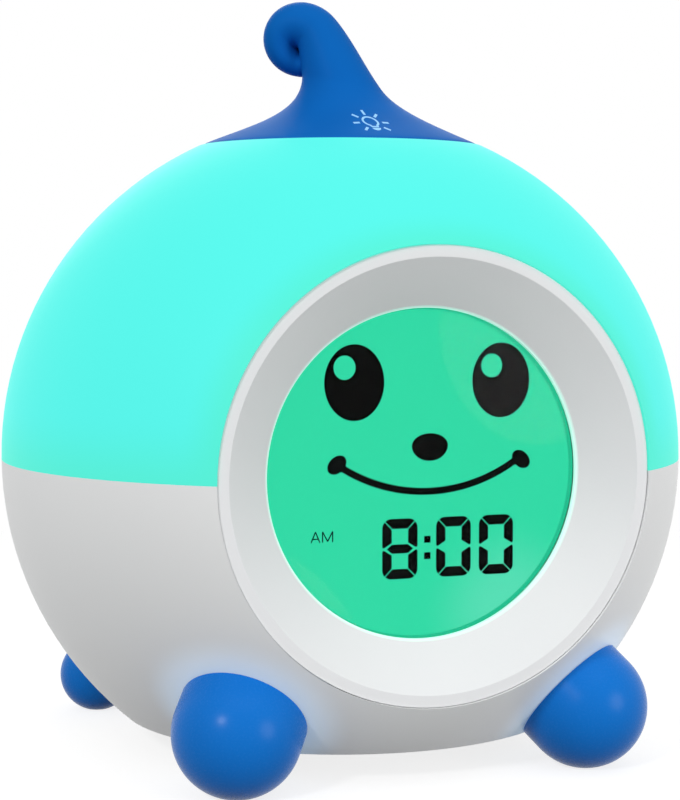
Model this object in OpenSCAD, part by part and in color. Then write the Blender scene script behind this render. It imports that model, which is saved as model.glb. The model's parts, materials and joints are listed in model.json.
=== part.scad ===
// Kids alarm clock with a night light: a ball on four feet, with a round display in front,
// a glowing upper dome, a curled press key on top and a control panel behind.
// Millimetres. The origin is on the table under the middle of the ball; the face looks along -Y.

/* [Ball] */
// Radius of the ball
body_r = 65; // [60:1:72]
// Height of the middle of the ball above the table
centre_h = 55; // [53:0.5:60]
// Wall of the dome and of the lower housing
wall = 2.4; // [1.8:0.1:3]
// Height of the flat underside above the table
base_h = 5.6; // [4:0.1:8]

/* [Display] */
// Radius of the display window that can be seen
window_r = 28.9; // [26:0.1:32]
// Width of the bezel's dish, from the window's edge to the crest
dish_w = 9; // [7:0.1:11]
// Width of the bezel's rounded crest
crest_w = 1.7; // [1.2:0.1:2.2]
// Depth of the window's edge behind the crest
dish_depth = 6.9; // [5:0.1:7.6]
// Reach of the square display glass behind the window's edge
lcd_margin = 0.7; // [0.4:0.1:1.2]
// Thickness of the display glass
lcd_t = 2.6; // [2:0.1:3]
// Thickness of the clear window
lens_t = 1.5; // [1.2:0.1:2]

/* [Feet] */
// Radius of a front foot's ball
front_foot_r = 11.4; // [10:0.1:12]
// Distance of a front foot's middle outside the ball's wall
front_foot_off = 3.2; // [2.5:0.1:4.5]
// Angle of a front foot from the side towards the front, seen from above
front_foot_turn = 50.4; // [47:0.1:54]
// Radius of a rear foot's ball
rear_foot_r = 7.6; // [7:0.1:8.5]
// Distance of a rear foot's middle outside the ball's wall
rear_foot_off = 7.8; // [6:0.1:9]
// Angle of a rear foot from the side towards the back, seen from above
rear_foot_turn = 43; // [39:0.1:47]
// Depth of the flat on which each foot stands
foot_flat = 0.4; // [0.2:0.1:0.6]

/* [Curl key] */
// Radius of the curl key's edge
cap_r = 27; // [25:0.1:29]
// Travel of the curl key
cap_travel = 1.2; // [0.8:0.1:1.5]
// Radius of the curl's round head
head_r = 7.1; // [6.5:0.1:7.6]
// Height of the middle of the curl's head above the key's edge
head_rise = 20.5; // [18:0.1:23]
// Direction in which the curl bends, from +X
curl_turn = 145; // [90:1:215]
// Radius of the plunger under the key
plunger_r = 4; // [3.5:0.1:4.5]

/* [Rear panel] */
// Radius of the opening for the rear panel
rear_open_r = 38; // [37:0.1:39]
// Width of the flat rim round the rear panel
rear_rim = 2.3; // [1.8:0.1:3]
// Thickness of the rear panel
panel_t = 2.2; // [1.8:0.1:2.4]
// Radius of a rear button
button_r = 4; // [3.5:0.1:4.5]
// Distance between the button columns
button_step_x = 15; // [13:0.5:15.5]
// Distance between the button rows
button_step_z = 13; // [12:0.5:14]
// Travel of a rear button
button_travel = 0.8; // [0.5:0.1:1]
// Radius of the loudspeaker
speaker_r = 13; // [12:0.5:13]

/* [Batteries] */
// Length of a cell
cell_l = 44.5; // [43.5:0.1:45.5]
// Diameter of a cell
cell_d = 10.5; // [10:0.1:10.6]
// Thickness of the battery door
door_t = 2; // [1.6:0.1:2.2]

/* [Gaps] */
// Gap between pieces that stay put
fit_gap = 0.1; // [0.05:0.05:0.2]
// Gap around a piece that slides in its hole
slide_gap = 0.05; // [0.03:0.01:0.09]
// Gap around a key or a door
key_gap = 0.3; // [0.2:0.05:0.4]

/* [Hidden] */
$fn = 96;

white = "#f4f6f6";
glow = "#5ffcee";
blue = "#1368bb";
green = "#2fd8a5";
board_green = "#1d6b3a";
dark = "#22252a";
metal = "#c9ccd0";

inner_r = body_r - wall;
blend_r = body_r - wall / 2;
rear_face_y = sqrt(pow(body_r, 2) - pow(rear_open_r + rear_rim, 2));
board_t = 1.6;

// Self-tapping screws: shank, pilot hole and pan head
screw_r = 1.25;
pilot_r = screw_r + slide_gap;
screw_head_r = 2.4;
screw_head_h = 1.6;
slot_w = 0.7;
slot_depth = 0.7;
tray_screw_l = 5;
board_screw_l = 6;
case_screw_l = 7;
foot_screw_l = 8;

// The bezel and the display stack, measured along Y from the middle of the ball
crest_r = window_r + dish_w;
bezel_r = crest_r + crest_w;
front_open_r = bezel_r + 2 * fit_gap;
lcd_side = 2 * (window_r + lcd_margin);
crest_y = -sqrt(pow(body_r, 2) - pow(front_open_r, 2)) + 0.45;
window_y = crest_y + dish_depth;
lens_y = window_y + 0.8;
stack_y = lens_y + lens_t;
frame_lip = 0.8;
lcd_y = stack_y + frame_lip;
lcd_back_y = lcd_y + lcd_t;
light_box_depth = 4.6;
board_y = lcd_back_y + light_box_depth;
zebra_h = 3;
light_box_h = lcd_side - 2 * (zebra_h + 0.6);
lens_r = window_r + 2.1;
bezel_flange_r = bezel_r + 1.6;
bezel_flange_y = crest_y + 4.1;
bezel_flange_t = 1.5;
frame_r = lcd_side / 2 * sqrt(2) + 1.7;
frame_window_r = window_r + 0.5;
frame_gap = 0.5;
display_screw_x = (lcd_side / 2 + bezel_r) / 2 - 0.6;
display_screw_z = 12;
board_r = frame_r - 1.6;
// Each chip's place across and up, its width, thickness and height
board_chip_list = [
    [0, -10, 12, 1.4, 12], [16, -8, 6, 1.5, 5], [-16, -6, 5, 1.5, 4], [-15, 10, 4, 1.2, 9]
];
capacitor_place = [20, -20];
capacitor_r = 3.2;
capacitor_h = 5.6;
board_screw_r = (lcd_side / 2 + frame_r) / 2 + 1.2;

// Seam between the dome and the lower housing
tongue_h = 2;
tongue_out_r = inner_r - 2 * fit_gap;
tongue_in_r = tongue_out_r - 1.8;
tongue_low = 3;
ledge_t = 1.2;
ledge_in_r = tongue_in_r - 4.6;
ledge_top = centre_h - tongue_low + ledge_t;
hook_in_r = tongue_in_r - 2.3;
hook_t = 1.4;
hook_w = 8;
hook_angles = [0, 35, 145, 180, 215, 325];

// Reflector tray between the electronics and the light chamber
tray_r = hook_in_r - 3 * fit_gap;
tray_t = 1.6;
tray_front_y = board_y + board_t + 2.7;
tray_rear_y = rear_face_y - 13;
tray_wall = 1.5;
tray_top = ledge_top + tray_t;
lamp_board_r = 24;
lamp_board_y = 4;
tray_screw_r = lamp_board_r - 3;
tray_screw_angles = [90, 210, 330];
lamp_ring_r = 15.5;
lamp_count = 12;

// The key on top
cap_edge_z = centre_h + sqrt(pow(body_r, 2) - pow(cap_r, 2));
cap_rim_t = 0.9;
cap_low_z = cap_edge_z - cap_rim_t;
well_r = cap_r + key_gap;
well_z = cap_low_z - cap_travel - 0.6;
well_t = 2.2;
guide_r = plunger_r + slide_gap;
guide_wall = 2.3;
guide_low_z = well_z - 8.2;
spring_wire_r = 0.3;
cap_boss_r = plunger_r + 2;
cap_boss_z = well_z + 4.6;
spigot_r = plunger_r - 1;
spigot_h = 5;
clip_t = 1;
clip_groove_r = plunger_r - 0.8;
clip_r = plunger_r + 2;
plunger_low_z = guide_low_z - 2;
cap_board_z = plunger_low_z - cap_travel - slide_gap - 5.6;
cap_post_x = 9.5;
tact_w = 6;
tact_h = 3.5;
tact_pin_r = 1.7;
tact_pin_h = 0.5;

// Rear panel and its buttons
panel_r = rear_open_r - 2 * fit_gap;
panel_in_y = rear_face_y - panel_t;
seat_in_r = rear_open_r - 2.2;
panel_screw_edge = 3.8;
panel_screw_d = (rear_open_r - panel_screw_edge) / sqrt(2);
panel_boss_r = 3.2;
panel_boss_l = 8;
button_out = 0.8;
button_top_z = 21;
button_flange = 1;
button_flange_t = 0.9;
button_end_y = panel_in_y - slide_gap - button_flange_t - button_travel - slide_gap;
button_board_y = panel_in_y - 7.8;
button_board_w = 41;
button_board_h = 24;
speaker_z = -12.5;
speaker_rim_t = 1.2;
terminal_y = panel_in_y - 6.5;
grille_hole_r = 0.9;
grille_step = 3.2;
inlet_z = 8.4 - rear_open_r;
inlet_w = 9;
inlet_h = 3.2;
inlet_l = 7.3;
inlet_wall = 0.3;
power_board_w = 16;
power_board_l = 6;
power_board_rear_y = panel_in_y - 2.4;
bracket_h = 2;

// Battery bay
cell_gap = 0.7;
cell_step = cell_d + cell_gap;
bay_l = cell_l + 8.5;
bay_w = 3 * cell_step + 0.4;
bay_y = 2;
bay_wall = 1.6;
bay_h = door_t + cell_d + 1.5;
door_margin = 2;
bay_pad = 4;
door_ear_r = 4.6;
door_screw_off = bay_w / 2 + 5.8;
cell_z = base_h + door_t + 0.2 + cell_d / 2;
cell_shift = 0.8;
cell_end = cell_l / 2 - cell_shift;
contact_t = 0.5;
contact_face = bay_l / 2 - contact_t;
cell_spring_wire_r = 0.35;
grip_l = 30;
grip_w = 1;
grip_step = 3;

// Plugs on the main board and the leads that run from them
lead_r = 0.7;
lead_pair = 0.8;
elbow_grow = 0.1;
terminal_bend = 2.5;
key_lead_bend_y = 4;
key_lead_rise = 6;
plug_w = 5.6;
plug_h = 4.5;
plug_l = 6;
plug_z = -26;
plug_x = [-8, 0, 8];
plug_y = board_y + board_t + plug_l;
lead_z = centre_h + plug_z;
key_lead = [3, 14];
key_lead_hole_r = lead_r + 1;
terminal_size = [4.4, 4.5, 1.5];
terminal_z = speaker_z - 7;
power_lead_x = 6;
power_lead_y = power_board_rear_y - power_board_l + 1;

// Feet
front_foot = foot_place(front_foot_r, front_foot_off, -front_foot_turn);
rear_foot = foot_place(rear_foot_r, rear_foot_off, rear_foot_turn);
foot_seat = 3.4;
foot_floor = 2.4;
front_neck_r = 8;
rear_neck_r = 5;

// ---------- small helpers ----------

module at_centre() {
    translate([0, 0, centre_h]) children();
}

// A rod along Y between two distances from the ball's middle
module rod_y(r, y0, y1) {
    translate([0, y0, 0]) rotate([-90, 0, 0]) cylinder(r = r, h = y1 - y0);
}

// A ring turned about the Y axis from points of radius and distance along Y
module turn_y(points) {
    rotate([-90, 0, 0]) rotate_extrude() polygon(points);
}

module ring_y(r_in, r_out, y0, y1) {
    turn_y([[r_in, y0], [r_out, y0], [r_out, y1], [r_in, y1]]);
}

module ring_z(r_in, r_out, z0, z1) {
    rotate_extrude() polygon([[r_in, z0], [r_out, z0], [r_out, z1], [r_in, z1]]);
}

module block(size, centre) {
    translate(centre) cube(size, center = true);
}

module both_sides() {
    children();
    mirror([1, 0, 0]) children();
}

module slab(z0, z1) {
    translate([-100, -100, z0]) cube([200, 200, z1 - z0]);
}

// Middle of the right foot of a pair: on the table, a given distance outside the ball's wall
function foot_place(r, off, turn) =
    let (z = r - foot_flat, reach = sqrt(pow(body_r + off, 2) - pow(centre_h - z, 2)))
    [reach * cos(turn), reach * sin(turn), z];

// Puts +Z along the line from the ball's middle to a foot
module along_foot(place) {
    v = place - [0, 0, centre_h];
    at_centre() rotate([0, acos(v[2] / norm(v)), atan2(v[1], v[0])]) children();
}

// A pan-head screw with its head's underside at the origin and its shank along +Z
module screw(length) {
    cylinder(r = screw_r, h = length);
    translate([0, 0, -screw_head_h]) difference() {
        cylinder(r1 = screw_head_r - 0.5, r2 = screw_head_r, h = screw_head_h);
        cube([2 * screw_r, slot_w, 2 * slot_depth], center = true);
        cube([slot_w, 2 * screw_r, 2 * slot_depth], center = true);
    }
}

// A flat bar with round sides that runs along Y, centred on X and Z
module oval_y(w, h, y0, y1) {
    for (s = [-1, 1]) translate([s * (w - h) / 2, 0, 0]) rod_y(h / 2, y0, y1);
    block([w - h, y1 - y0, h], [0, (y0 + y1) / 2, 0]);
}

// A wire with round elbows
module wire(points, r) {
    for (i = [0 : len(points) - 2]) {
        a = points[i];
        v = points[i + 1] - a;
        translate(a) rotate([0, acos(v[2] / norm(v)), atan2(v[1], v[0])])
            cylinder(r = r, h = norm(v));
        if (i > 0) translate(a) sphere(r = r + elbow_grow);
    }
}

// A closed skin over rings of equal length, with a fan over each end
module skin(rings) {
    n = len(rings[0]);
    last = len(rings) - 1;
    middle = function(ring) [for (k = [0 : 2]) [for (p = ring) p[k]] * [for (p = ring) 1] / n];
    points = [for (ring = rings) each ring, middle(rings[0]), middle(rings[last])];
    sides = [for (i = [0 : last - 1], j = [0 : n - 1])
        let (a = i * n + j, b = i * n + (j + 1) % n)
        each [[a, b, a + n], [b, b + n, a + n]]];
    low = [for (j = [0 : n - 1]) [j, (last + 1) * n, (j + 1) % n]];
    high = [for (j = [0 : n - 1]) [last * n + j, last * n + (j + 1) % n, (last + 1) * n + 1]];
    polyhedron(points = points, faces = [for (f = concat(sides, low, high)) [f[0], f[2], f[1]]]);
}

// A wound spring about Z that narrows from r0 to r1
module coil(r0, r1, height, turns, wire_r) {
    steps = turns * 16;
    sides = 6;
    skin([for (i = [0 : steps])
        let (
            t = i / steps,
            a = 360 * turns * t,
            r = r0 + (r1 - r0) * t,
            out = [cos(a), sin(a), 0],
            run = 2 * PI * r * turns,
            along = [-sin(a) * run, cos(a) * run, height] / norm([run, height]),
            up = cross(along, out)
        )
        [for (j = [0 : sides - 1])
            let (b = 360 * j / sides)
            out * (r + wire_r * cos(b)) + up * wire_r * sin(b) + [0, 0, height * t]]]);
}

// ---------- the two halves of the ball ----------

// Space that the display takes inside the ball
module display_space(gap) {
    rod_y(frame_r + gap, -body_r, board_y + board_t);
}

module foot_socket(place, neck_r, grow = 0) {
    along_foot(place)
        translate([0, 0, body_r - foot_seat - foot_floor - grow])
            cylinder(r = neck_r + fit_gap + 2 + grow, h = foot_seat + foot_floor + grow);
}

module foot_pocket(place, neck_r) {
    along_foot(place) {
        translate([0, 0, body_r - foot_seat]) cylinder(r = neck_r + fit_gap, h = foot_seat * 2);
        translate([0, 0, body_r - foot_seat - 2 * foot_floor])
            cylinder(r = screw_r + 2 * fit_gap, h = 3 * foot_floor);
    }
}

// Ring inside the front opening, on which the bezel's flange seats
module front_seat() {
    ring_y(front_open_r, front_open_r + 4.5, bezel_flange_y - 1.5, bezel_flange_y);
}

// Ledge inside the rear opening, with bosses for the panel's screws
module rear_seat() {
    ring_y(seat_in_r, rear_open_r + 3, panel_in_y - 2.2, panel_in_y);
    for (x = [-1, 1], z = [-1, 1])
        translate([x * panel_screw_d, 0, z * panel_screw_d])
            rod_y(panel_boss_r, panel_in_y - panel_boss_l, panel_in_y);
}

module rear_pilots() {
    for (x = [-1, 1], z = [-1, 1])
        translate([x * panel_screw_d, 0, z * panel_screw_d])
            rod_y(pilot_r, panel_in_y - panel_boss_l + 1, rear_face_y + 1);
}

module openings() {
    at_centre() {
        rod_y(front_open_r, -body_r - 1, bezel_flange_y + 1);
        rod_y(rear_open_r, panel_in_y, body_r + 1);
        translate([-body_r, rear_face_y, -body_r]) cube(2 * body_r);
    }
}

module at_hooks() {
    for (a = hook_angles) at_centre() rotate([0, 0, a]) children();
}

module housing_rim() {
    difference() {
        at_centre() {
            ring_z(tongue_in_r, tongue_out_r, -tongue_low, tongue_h);
            ring_z(tongue_in_r, blend_r, -tongue_low, 0);
            ring_z(ledge_in_r, tongue_in_r + 0.5, -tongue_low, -tongue_low + ledge_t);
        }
        at_centre() {
            display_space(0.8);
            rod_y(rear_open_r + key_gap, rear_face_y - panel_boss_l, body_r);
        }
        at_hooks() block([tongue_in_r - hook_in_r + 0.4, hook_w + 2, 3 * ledge_t],
            [(tongue_in_r + hook_in_r) / 2 - 0.2, 0, -tongue_low + ledge_t / 2]);
    }
}

module battery_bay() {
    height = bay_h + bay_wall;
    block([bay_l + 2 * bay_wall, bay_w + 2 * bay_wall, height], [0, bay_y, base_h + height / 2]);
    block([bay_l + 2 * (door_margin + 2), bay_w + 2 * (door_margin + 2), bay_pad],
        [0, bay_y, base_h + bay_pad / 2]);
    for (s = [-1, 1])
        translate([0, bay_y + s * door_screw_off, base_h]) {
            cylinder(r = door_ear_r + 2, h = bay_pad);
            cylinder(r = 3.6, h = bay_h);
        }
}

module door_outline(gap) {
    block([bay_l + 2 * door_margin + 2 * gap, bay_w + 2 * door_margin + 2 * gap, 2 * door_t],
        [0, bay_y, base_h]);
    for (s = [-1, 1])
        translate([0, bay_y + s * door_screw_off, base_h - door_t])
            cylinder(r = door_ear_r + gap, h = 2 * door_t);
    block([2 * (door_ear_r + gap), 2 * door_screw_off, 2 * door_t], [0, bay_y, base_h]);
}

module lower_housing() color(white)
difference() {
    union() {
        difference() {
            intersection() {
                at_centre() sphere(r = body_r);
                slab(base_h, centre_h);
            }
            intersection() {
                at_centre() sphere(r = inner_r);
                slab(base_h + wall, centre_h + 1);
            }
        }
        intersection() {
            at_centre() sphere(r = blend_r);
            slab(base_h + wall / 2, centre_h);
            union() {
                at_centre() {
                    front_seat();
                    rear_seat();
                }
                both_sides() {
                    foot_socket(front_foot, front_neck_r);
                    foot_socket(rear_foot, rear_neck_r);
                }
            }
        }
        battery_bay();
        housing_rim();
    }
    openings();
    at_centre() rear_pilots();
    both_sides() {
        foot_pocket(front_foot, front_neck_r);
        foot_pocket(rear_foot, rear_neck_r);
    }
    door_outline(key_gap);
    block([bay_l, bay_w, 2 * bay_h], [0, bay_y, base_h]);
    for (s = [-1, 1])
        translate([0, bay_y + s * door_screw_off, base_h])
            cylinder(r = pilot_r, h = bay_h - 1);
}

module dome_hooks() {
    at_hooks() {
        block([hook_t, hook_w, tongue_low + tongue_h + 3.4],
            [hook_in_r + hook_t / 2, 0, (tongue_h + 1.6 - tongue_low - 1.8) / 2]);
        block([1.6 + hook_t / 2, hook_w, 1.5],
            [hook_in_r + hook_t / 2 + (1.6 + hook_t / 2) / 2, 0, -tongue_low - 0.95]);
        block([blend_r - hook_in_r, hook_w, 1.6],
            [(blend_r + hook_in_r) / 2, 0, tongue_h + 0.9 + 0.3]);
    }
}

module light_dome() color(glow)
difference() {
    union() {
        difference() {
            intersection() {
                at_centre() sphere(r = body_r);
                slab(centre_h, centre_h + body_r);
            }
            at_centre() sphere(r = inner_r);
        }
        intersection() {
            at_centre() sphere(r = blend_r);
            union() {
                slab_above = centre_h + tongue_h + 0.2;
                intersection() {
                    at_centre() {
                        front_seat();
                        rear_seat();
                    }
                    slab(slab_above, centre_h + body_r);
                }
                dome_hooks();
                translate([0, 0, well_z - well_t]) cylinder(r = well_r + 2, h = body_r);
                translate([0, 0, guide_low_z]) cylinder(r = guide_r + guide_wall, h = 10);
            }
        }
        for (x = [-1, 1])
            translate([x * cap_post_x, 0, cap_board_z + board_t])
                cylinder(r = 2.2, h = well_z - cap_board_z - board_t - 0.5);
    }
    openings();
    at_centre() rear_pilots();
    translate([0, 0, well_z]) cylinder(r = well_r, h = body_r);
    translate([0, 0, guide_low_z - 1]) cylinder(r = guide_r, h = body_r);
    for (x = [-1, 1])
        translate([x * cap_post_x, 0, cap_board_z]) cylinder(r = pilot_r, h = board_screw_l + 2);
}

// ---------- display ----------

module display_screw_places() {
    for (x = [-1, 1], z = [-1, 1])
        translate([x * display_screw_x, 0, z * display_screw_z]) children();
}

module front_bezel() color(white)
at_centre() difference() {
    union() {
        difference() {
            turn_y([
                [bezel_r, stack_y], [bezel_r, crest_y + 0.9],
                for (a = [15 : 15 : 75]) [
                    crest_r + (bezel_r - crest_r) * cos(a),
                    crest_y + 0.9 - 0.9 * sin(a)],
                [crest_r, crest_y], [window_r, window_y], [window_r, lens_y],
                [lens_r + fit_gap, lens_y], [lens_r + fit_gap, stack_y]]);
            turn_y([
                [lens_r + 2.2, stack_y + 1], [lens_r + 2.2, window_y - 1],
                [bezel_r - 2.2, crest_y + 2.5], [bezel_r - 2.2, stack_y + 1]]);
        }
        ring_y(bezel_r - 1, bezel_flange_r, bezel_flange_y, bezel_flange_y + bezel_flange_t);
        intersection() {
            display_screw_places() rod_y(2.6, crest_y + 3, stack_y);
            turn_y([[window_r, window_y + 0.8], [crest_r, crest_y + 0.8], [bezel_r - 0.5, crest_y + 1.2],
                [bezel_r - 0.5, stack_y], [window_r, stack_y]]);
        }
    }
    display_screw_places() rod_y(pilot_r, stack_y - 4.6, stack_y + 1);
}

module display_lens() color(green)
at_centre() rod_y(lens_r, lens_y, stack_y);

module lcd_frame() color(white)
difference() {
    at_centre() difference() {
        rod_y(frame_r, stack_y, board_y);
        rod_y(frame_window_r, stack_y - 1, lcd_y + 1);
        translate([0, (lcd_y + board_y) / 2 + 1, 0])
            cube([lcd_side + 2 * fit_gap, board_y - lcd_y + 2, lcd_side + 2 * fit_gap], center = true);
        display_screw_places() {
            rod_y(screw_r + 2 * fit_gap, stack_y - 1, board_y + 1);
            rod_y(screw_head_r + fit_gap, board_y - 3, board_y + 1);
        }
        for (a = [0 : 90 : 270])
            rotate([0, a, 0]) translate([board_screw_r, 0, 0])
                rod_y(pilot_r, board_y - board_screw_l, board_y + 1);
    }
    both_sides() {
        foot_socket(front_foot, front_neck_r, frame_gap);
        along_foot(front_foot)
            translate([0, 0, body_r - foot_seat - foot_floor - screw_head_h - frame_gap])
                cylinder(r = screw_head_r + frame_gap, h = screw_head_h + 2 * frame_gap);
    }
}

module lcd_panel() color(green)
at_centre() block([lcd_side, lcd_t, lcd_side], [0, lcd_y + lcd_t / 2, 0]);

module backlight_diffuser() color(white)
at_centre() difference() {
    block([lcd_side, light_box_depth, light_box_h], [0, lcd_back_y + light_box_depth / 2, 0]);
    block([lcd_side - 4, light_box_depth, light_box_h - 4], [0, lcd_back_y + light_box_depth / 2 + 2.2, 0]);
}

module zebra_strips() color("#8f6a6a")
at_centre() for (s = [-1, 1])
    block([lcd_side - 5, light_box_depth, zebra_h],
        [0, lcd_back_y + light_box_depth / 2, s * (light_box_h + zebra_h + 0.6) / 2]);

module main_board() color(board_green)
at_centre() difference() {
    rod_y(board_r, board_y, board_y + board_t);
    for (a = [0 : 90 : 270])
        rotate([0, a, 0]) translate([board_screw_r, 0, 0])
            rod_y(screw_r + 2 * fit_gap, board_y - 1, board_y + board_t + 1);
    display_screw_places() rod_y(screw_head_r + 2 * fit_gap, board_y - 1, board_y + board_t + 1);
}

module backlight_leds() color("ivory")
at_centre() for (x = [-1, 1], z = [-1, 1])
    block([3.5, 1.4, 2.8], [x * lcd_side / 4, board_y - 0.7, z * light_box_h / 4]);

module board_chips() color(dark)
at_centre() for (chip = board_chip_list)
    translate([chip[0], board_y + board_t + chip[3] / 2, chip[1]])
        cube([chip[2], chip[3], chip[4]], center = true);

module board_capacitors() color(metal)
at_centre() both_sides()
    translate([capacitor_place[0], 0, capacitor_place[1]])
        rod_y(capacitor_r, board_y + board_t, board_y + board_t + capacitor_h);

module board_connectors() color("#f2eee0")
at_centre() for (x = plug_x)
    block([plug_w, plug_l, plug_h], [x, board_y + board_t + plug_l / 2, plug_z]);

module board_screws() color(metal)
at_centre() for (a = [0 : 90 : 270])
    rotate([0, a, 0]) translate([board_screw_r, board_y + board_t, 0])
        rotate([90, 0, 0]) screw(board_screw_l);

module display_screws() color(metal)
at_centre() display_screw_places() translate([0, board_y - 3, 0])
    rotate([90, 0, 0]) screw(board_y - 3 - stack_y + 4);

// ---------- light chamber ----------

module reflector_tray() color("#fbfbf8")
difference() {
    union() {
        intersection() {
            translate([0, 0, ledge_top]) cylinder(r = tray_r, h = tray_t);
            translate([-body_r, tray_front_y, 0])
                cube([2 * body_r, tray_rear_y - tray_front_y, 2 * body_r]);
        }
        intersection() {
            at_centre() {
                rod_y(sqrt(pow(inner_r, 2) - pow(tray_front_y, 2)) - 4,
                    tray_front_y, tray_front_y + tray_wall);
                rod_y(sqrt(pow(inner_r, 2) - pow(tray_rear_y, 2)) - 3,
                    tray_rear_y - tray_wall, tray_rear_y);
            }
            slab(ledge_top + tray_t / 2, centre_h + body_r);
            translate([0, 0, ledge_top]) cylinder(r = tray_r, h = body_r);
        }
        for (a = tray_screw_angles)
            translate([tray_screw_r * cos(a), lamp_board_y + tray_screw_r * sin(a), ledge_top - 3])
                cylinder(r = 2.6, h = 3.5);
    }
    for (a = tray_screw_angles)
        translate([tray_screw_r * cos(a), lamp_board_y + tray_screw_r * sin(a), ledge_top - 4])
            cylinder(r = pilot_r, h = 10);
    translate([key_lead[0], key_lead[1], ledge_top - 1]) cylinder(r = key_lead_hole_r, h = 5);
}

module night_light_board() color(white)
difference() {
    translate([0, lamp_board_y, tray_top]) cylinder(r = lamp_board_r, h = board_t);
    for (a = tray_screw_angles)
        translate([tray_screw_r * cos(a), lamp_board_y + tray_screw_r * sin(a), tray_top - 1])
            cylinder(r = screw_r + 2 * fit_gap, h = 5);
    translate([key_lead[0], key_lead[1], tray_top - 1]) cylinder(r = key_lead_hole_r, h = 5);
}

module night_light_leds() color("ivory")
for (i = [0 : lamp_count - 1])
    let (a = (i + 0.5) * 360 / lamp_count)
    translate([lamp_ring_r * cos(a), lamp_board_y + lamp_ring_r * sin(a), tray_top + board_t])
        rotate([0, 0, a]) translate([-2.5, -2.5, 0]) cube([5, 5, 1.6]);

module tray_screws() color(metal)
for (a = tray_screw_angles)
    translate([tray_screw_r * cos(a), lamp_board_y + tray_screw_r * sin(a), tray_top + board_t])
        rotate([180, 0, 0]) screw(tray_screw_l);

// ---------- key on top ----------

// The curl lies in a plane through the ball's axis. Its two outlines are curves in that plane,
// measured from the axis and from the key's edge. Each ring spans from one outline to the other.
function bez(p, t) = p[0] * pow(1 - t, 3) + p[1] * 3 * t * pow(1 - t, 2)
    + p[2] * 3 * t * t * (1 - t) + p[3] * t * t * t;
function around(centre, r, a) = centre + r * [cos(a), sin(a)];

skirt_run = 8.5;
skirt_rise = 3.6;
stem_r = 7.4;
neck_thick = 5.9;
tip_thick = 3.4;
head = [-7.9, head_rise];
shoulder_r = head_r + 0.75;
lean = 31.5;
bend_end = 140;
curl_end = 268;
crease = [head[0] - 0.3, head_rise - 2.1];
crease_r = 0.3;
crease_turn = 110;
tip_in = crease + [0.6, -0.8];
tip_out = around(head, head_r, curl_end);
tip_reach = 2.6;
back_curve = [[cap_r, 0], [cap_r - skirt_run, skirt_rise], [stem_r + 3, 6.9], [stem_r + 0.3, 11.1]];
front_curve = [[-cap_r, 0], [-cap_r + skirt_run, skirt_rise], [-stem_r, 5.5], [-stem_r + 0.2, 12.9]];
shoulder = around(head, shoulder_r, lean);
stem_curve = [back_curve[3], [stem_r - 2.5, 14.9], shoulder + [3.6, -4.3], shoulder];

// Each entry is the inner point, the outer point and half the thickness across the plane
skirt_rings = [for (t = [0 : 0.1 : 1]) [bez(front_curve, t), bez(back_curve, t), bez(back_curve, t)[0]]];
stem_rings = [for (t = [0.2 : 0.2 : 1]) [
    front_curve[3] * (1 - t) + around(crease, crease_r, 0) * t,
    bez(stem_curve, t),
    back_curve[3][0] * (1 - t) + neck_thick * t]];
bend_rings = [for (t = [1 / 8 : 1 / 8 : 1]) [
    around(crease, crease_r, crease_turn * t),
    around(head, head_r + (shoulder_r - head_r) * pow(1 - t, 4), lean + (bend_end - lean) * t),
    neck_thick + 0.5 * sin(90 * t)]];
curl_rings = [for (t = [1 / 7 : 1 / 7 : 1]) [
    around(crease, crease_r, crease_turn) * (1 - t) + tip_in * t,
    around(head, head_r, bend_end + (curl_end - bend_end) * t),
    neck_thick + 0.5 - (neck_thick + 0.5 - tip_thick) * t * t]];
tip_rings = [for (t = [15 : 15 : 75])
    let (
        mid = (tip_in + tip_out) / 2,
        half = (tip_in - tip_out) / 2 * cos(t),
        push = [half[1], -half[0]] / norm(half) * tip_reach * sin(t)
    )
    [mid + push + half, mid + push - half, tip_thick * cos(t)]];

function curl_ring(r) = let (mid = (r[0] + r[1]) / 2, half = (r[1] - r[0]) / 2)
    [for (j = [0 : 31])
        let (a = 360 * j / 32, p = mid + half * cos(a), w = r[2] * sin(a))
        [w * sin(curl_turn) - p[0] * cos(curl_turn), -w * cos(curl_turn) - p[0] * sin(curl_turn), p[1]]];

rim_ring = [for (p = curl_ring(skirt_rings[0])) p - [0, 0, cap_rim_t]];
rising_part = concat([rim_ring], [for (r = concat(skirt_rings, stem_rings, bend_rings)) curl_ring(r)]);
curling_part = [for (r = concat([bend_rings[len(bend_rings) - 1]], curl_rings, tip_rings)) curl_ring(r)];

module curl_cap() color(blue)
difference() {
    translate([0, 0, cap_edge_z]) {
        skin(rising_part);
        skin(curling_part);
    }
    difference() {
        translate([0, 0, cap_edge_z]) rotate_extrude() polygon([
            [0, -2], [cap_r - 2, -2], [cap_r - 2, -0.9],
            for (t = [0.12 : 0.1 : 0.72]) [bez(back_curve, t)[0] - 0.8, bez(back_curve, t)[1] - 1.8],
            [0, bez(back_curve, 0.72)[1] - 1.8]]);
        translate([0, 0, cap_boss_z]) cylinder(r = cap_boss_r, h = head_rise);
    }
    translate([0, 0, cap_boss_z - 1]) cylinder(r = spigot_r, h = spigot_h + 1 + slide_gap);
}

module cap_plunger() color("#e8e8e8")
difference() {
    union() {
        translate([0, 0, plunger_low_z]) cylinder(r = plunger_r, h = cap_boss_z - plunger_low_z);
        translate([0, 0, cap_boss_z - 1]) cylinder(r = spigot_r, h = spigot_h + 1);
    }
    translate([0, 0, guide_low_z - slide_gap - clip_t])
        ring_z(clip_groove_r - slide_gap, plunger_r + 1, 0, clip_t);
}

module cap_retainer() color(metal)
translate([0, 0, guide_low_z - slide_gap - clip_t]) difference() {
    ring_z(clip_groove_r, clip_r, 0, clip_t);
    block([2 * clip_groove_r - 1, 2 * clip_r, 3 * clip_t], [0, clip_r, 0]);
}

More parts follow.
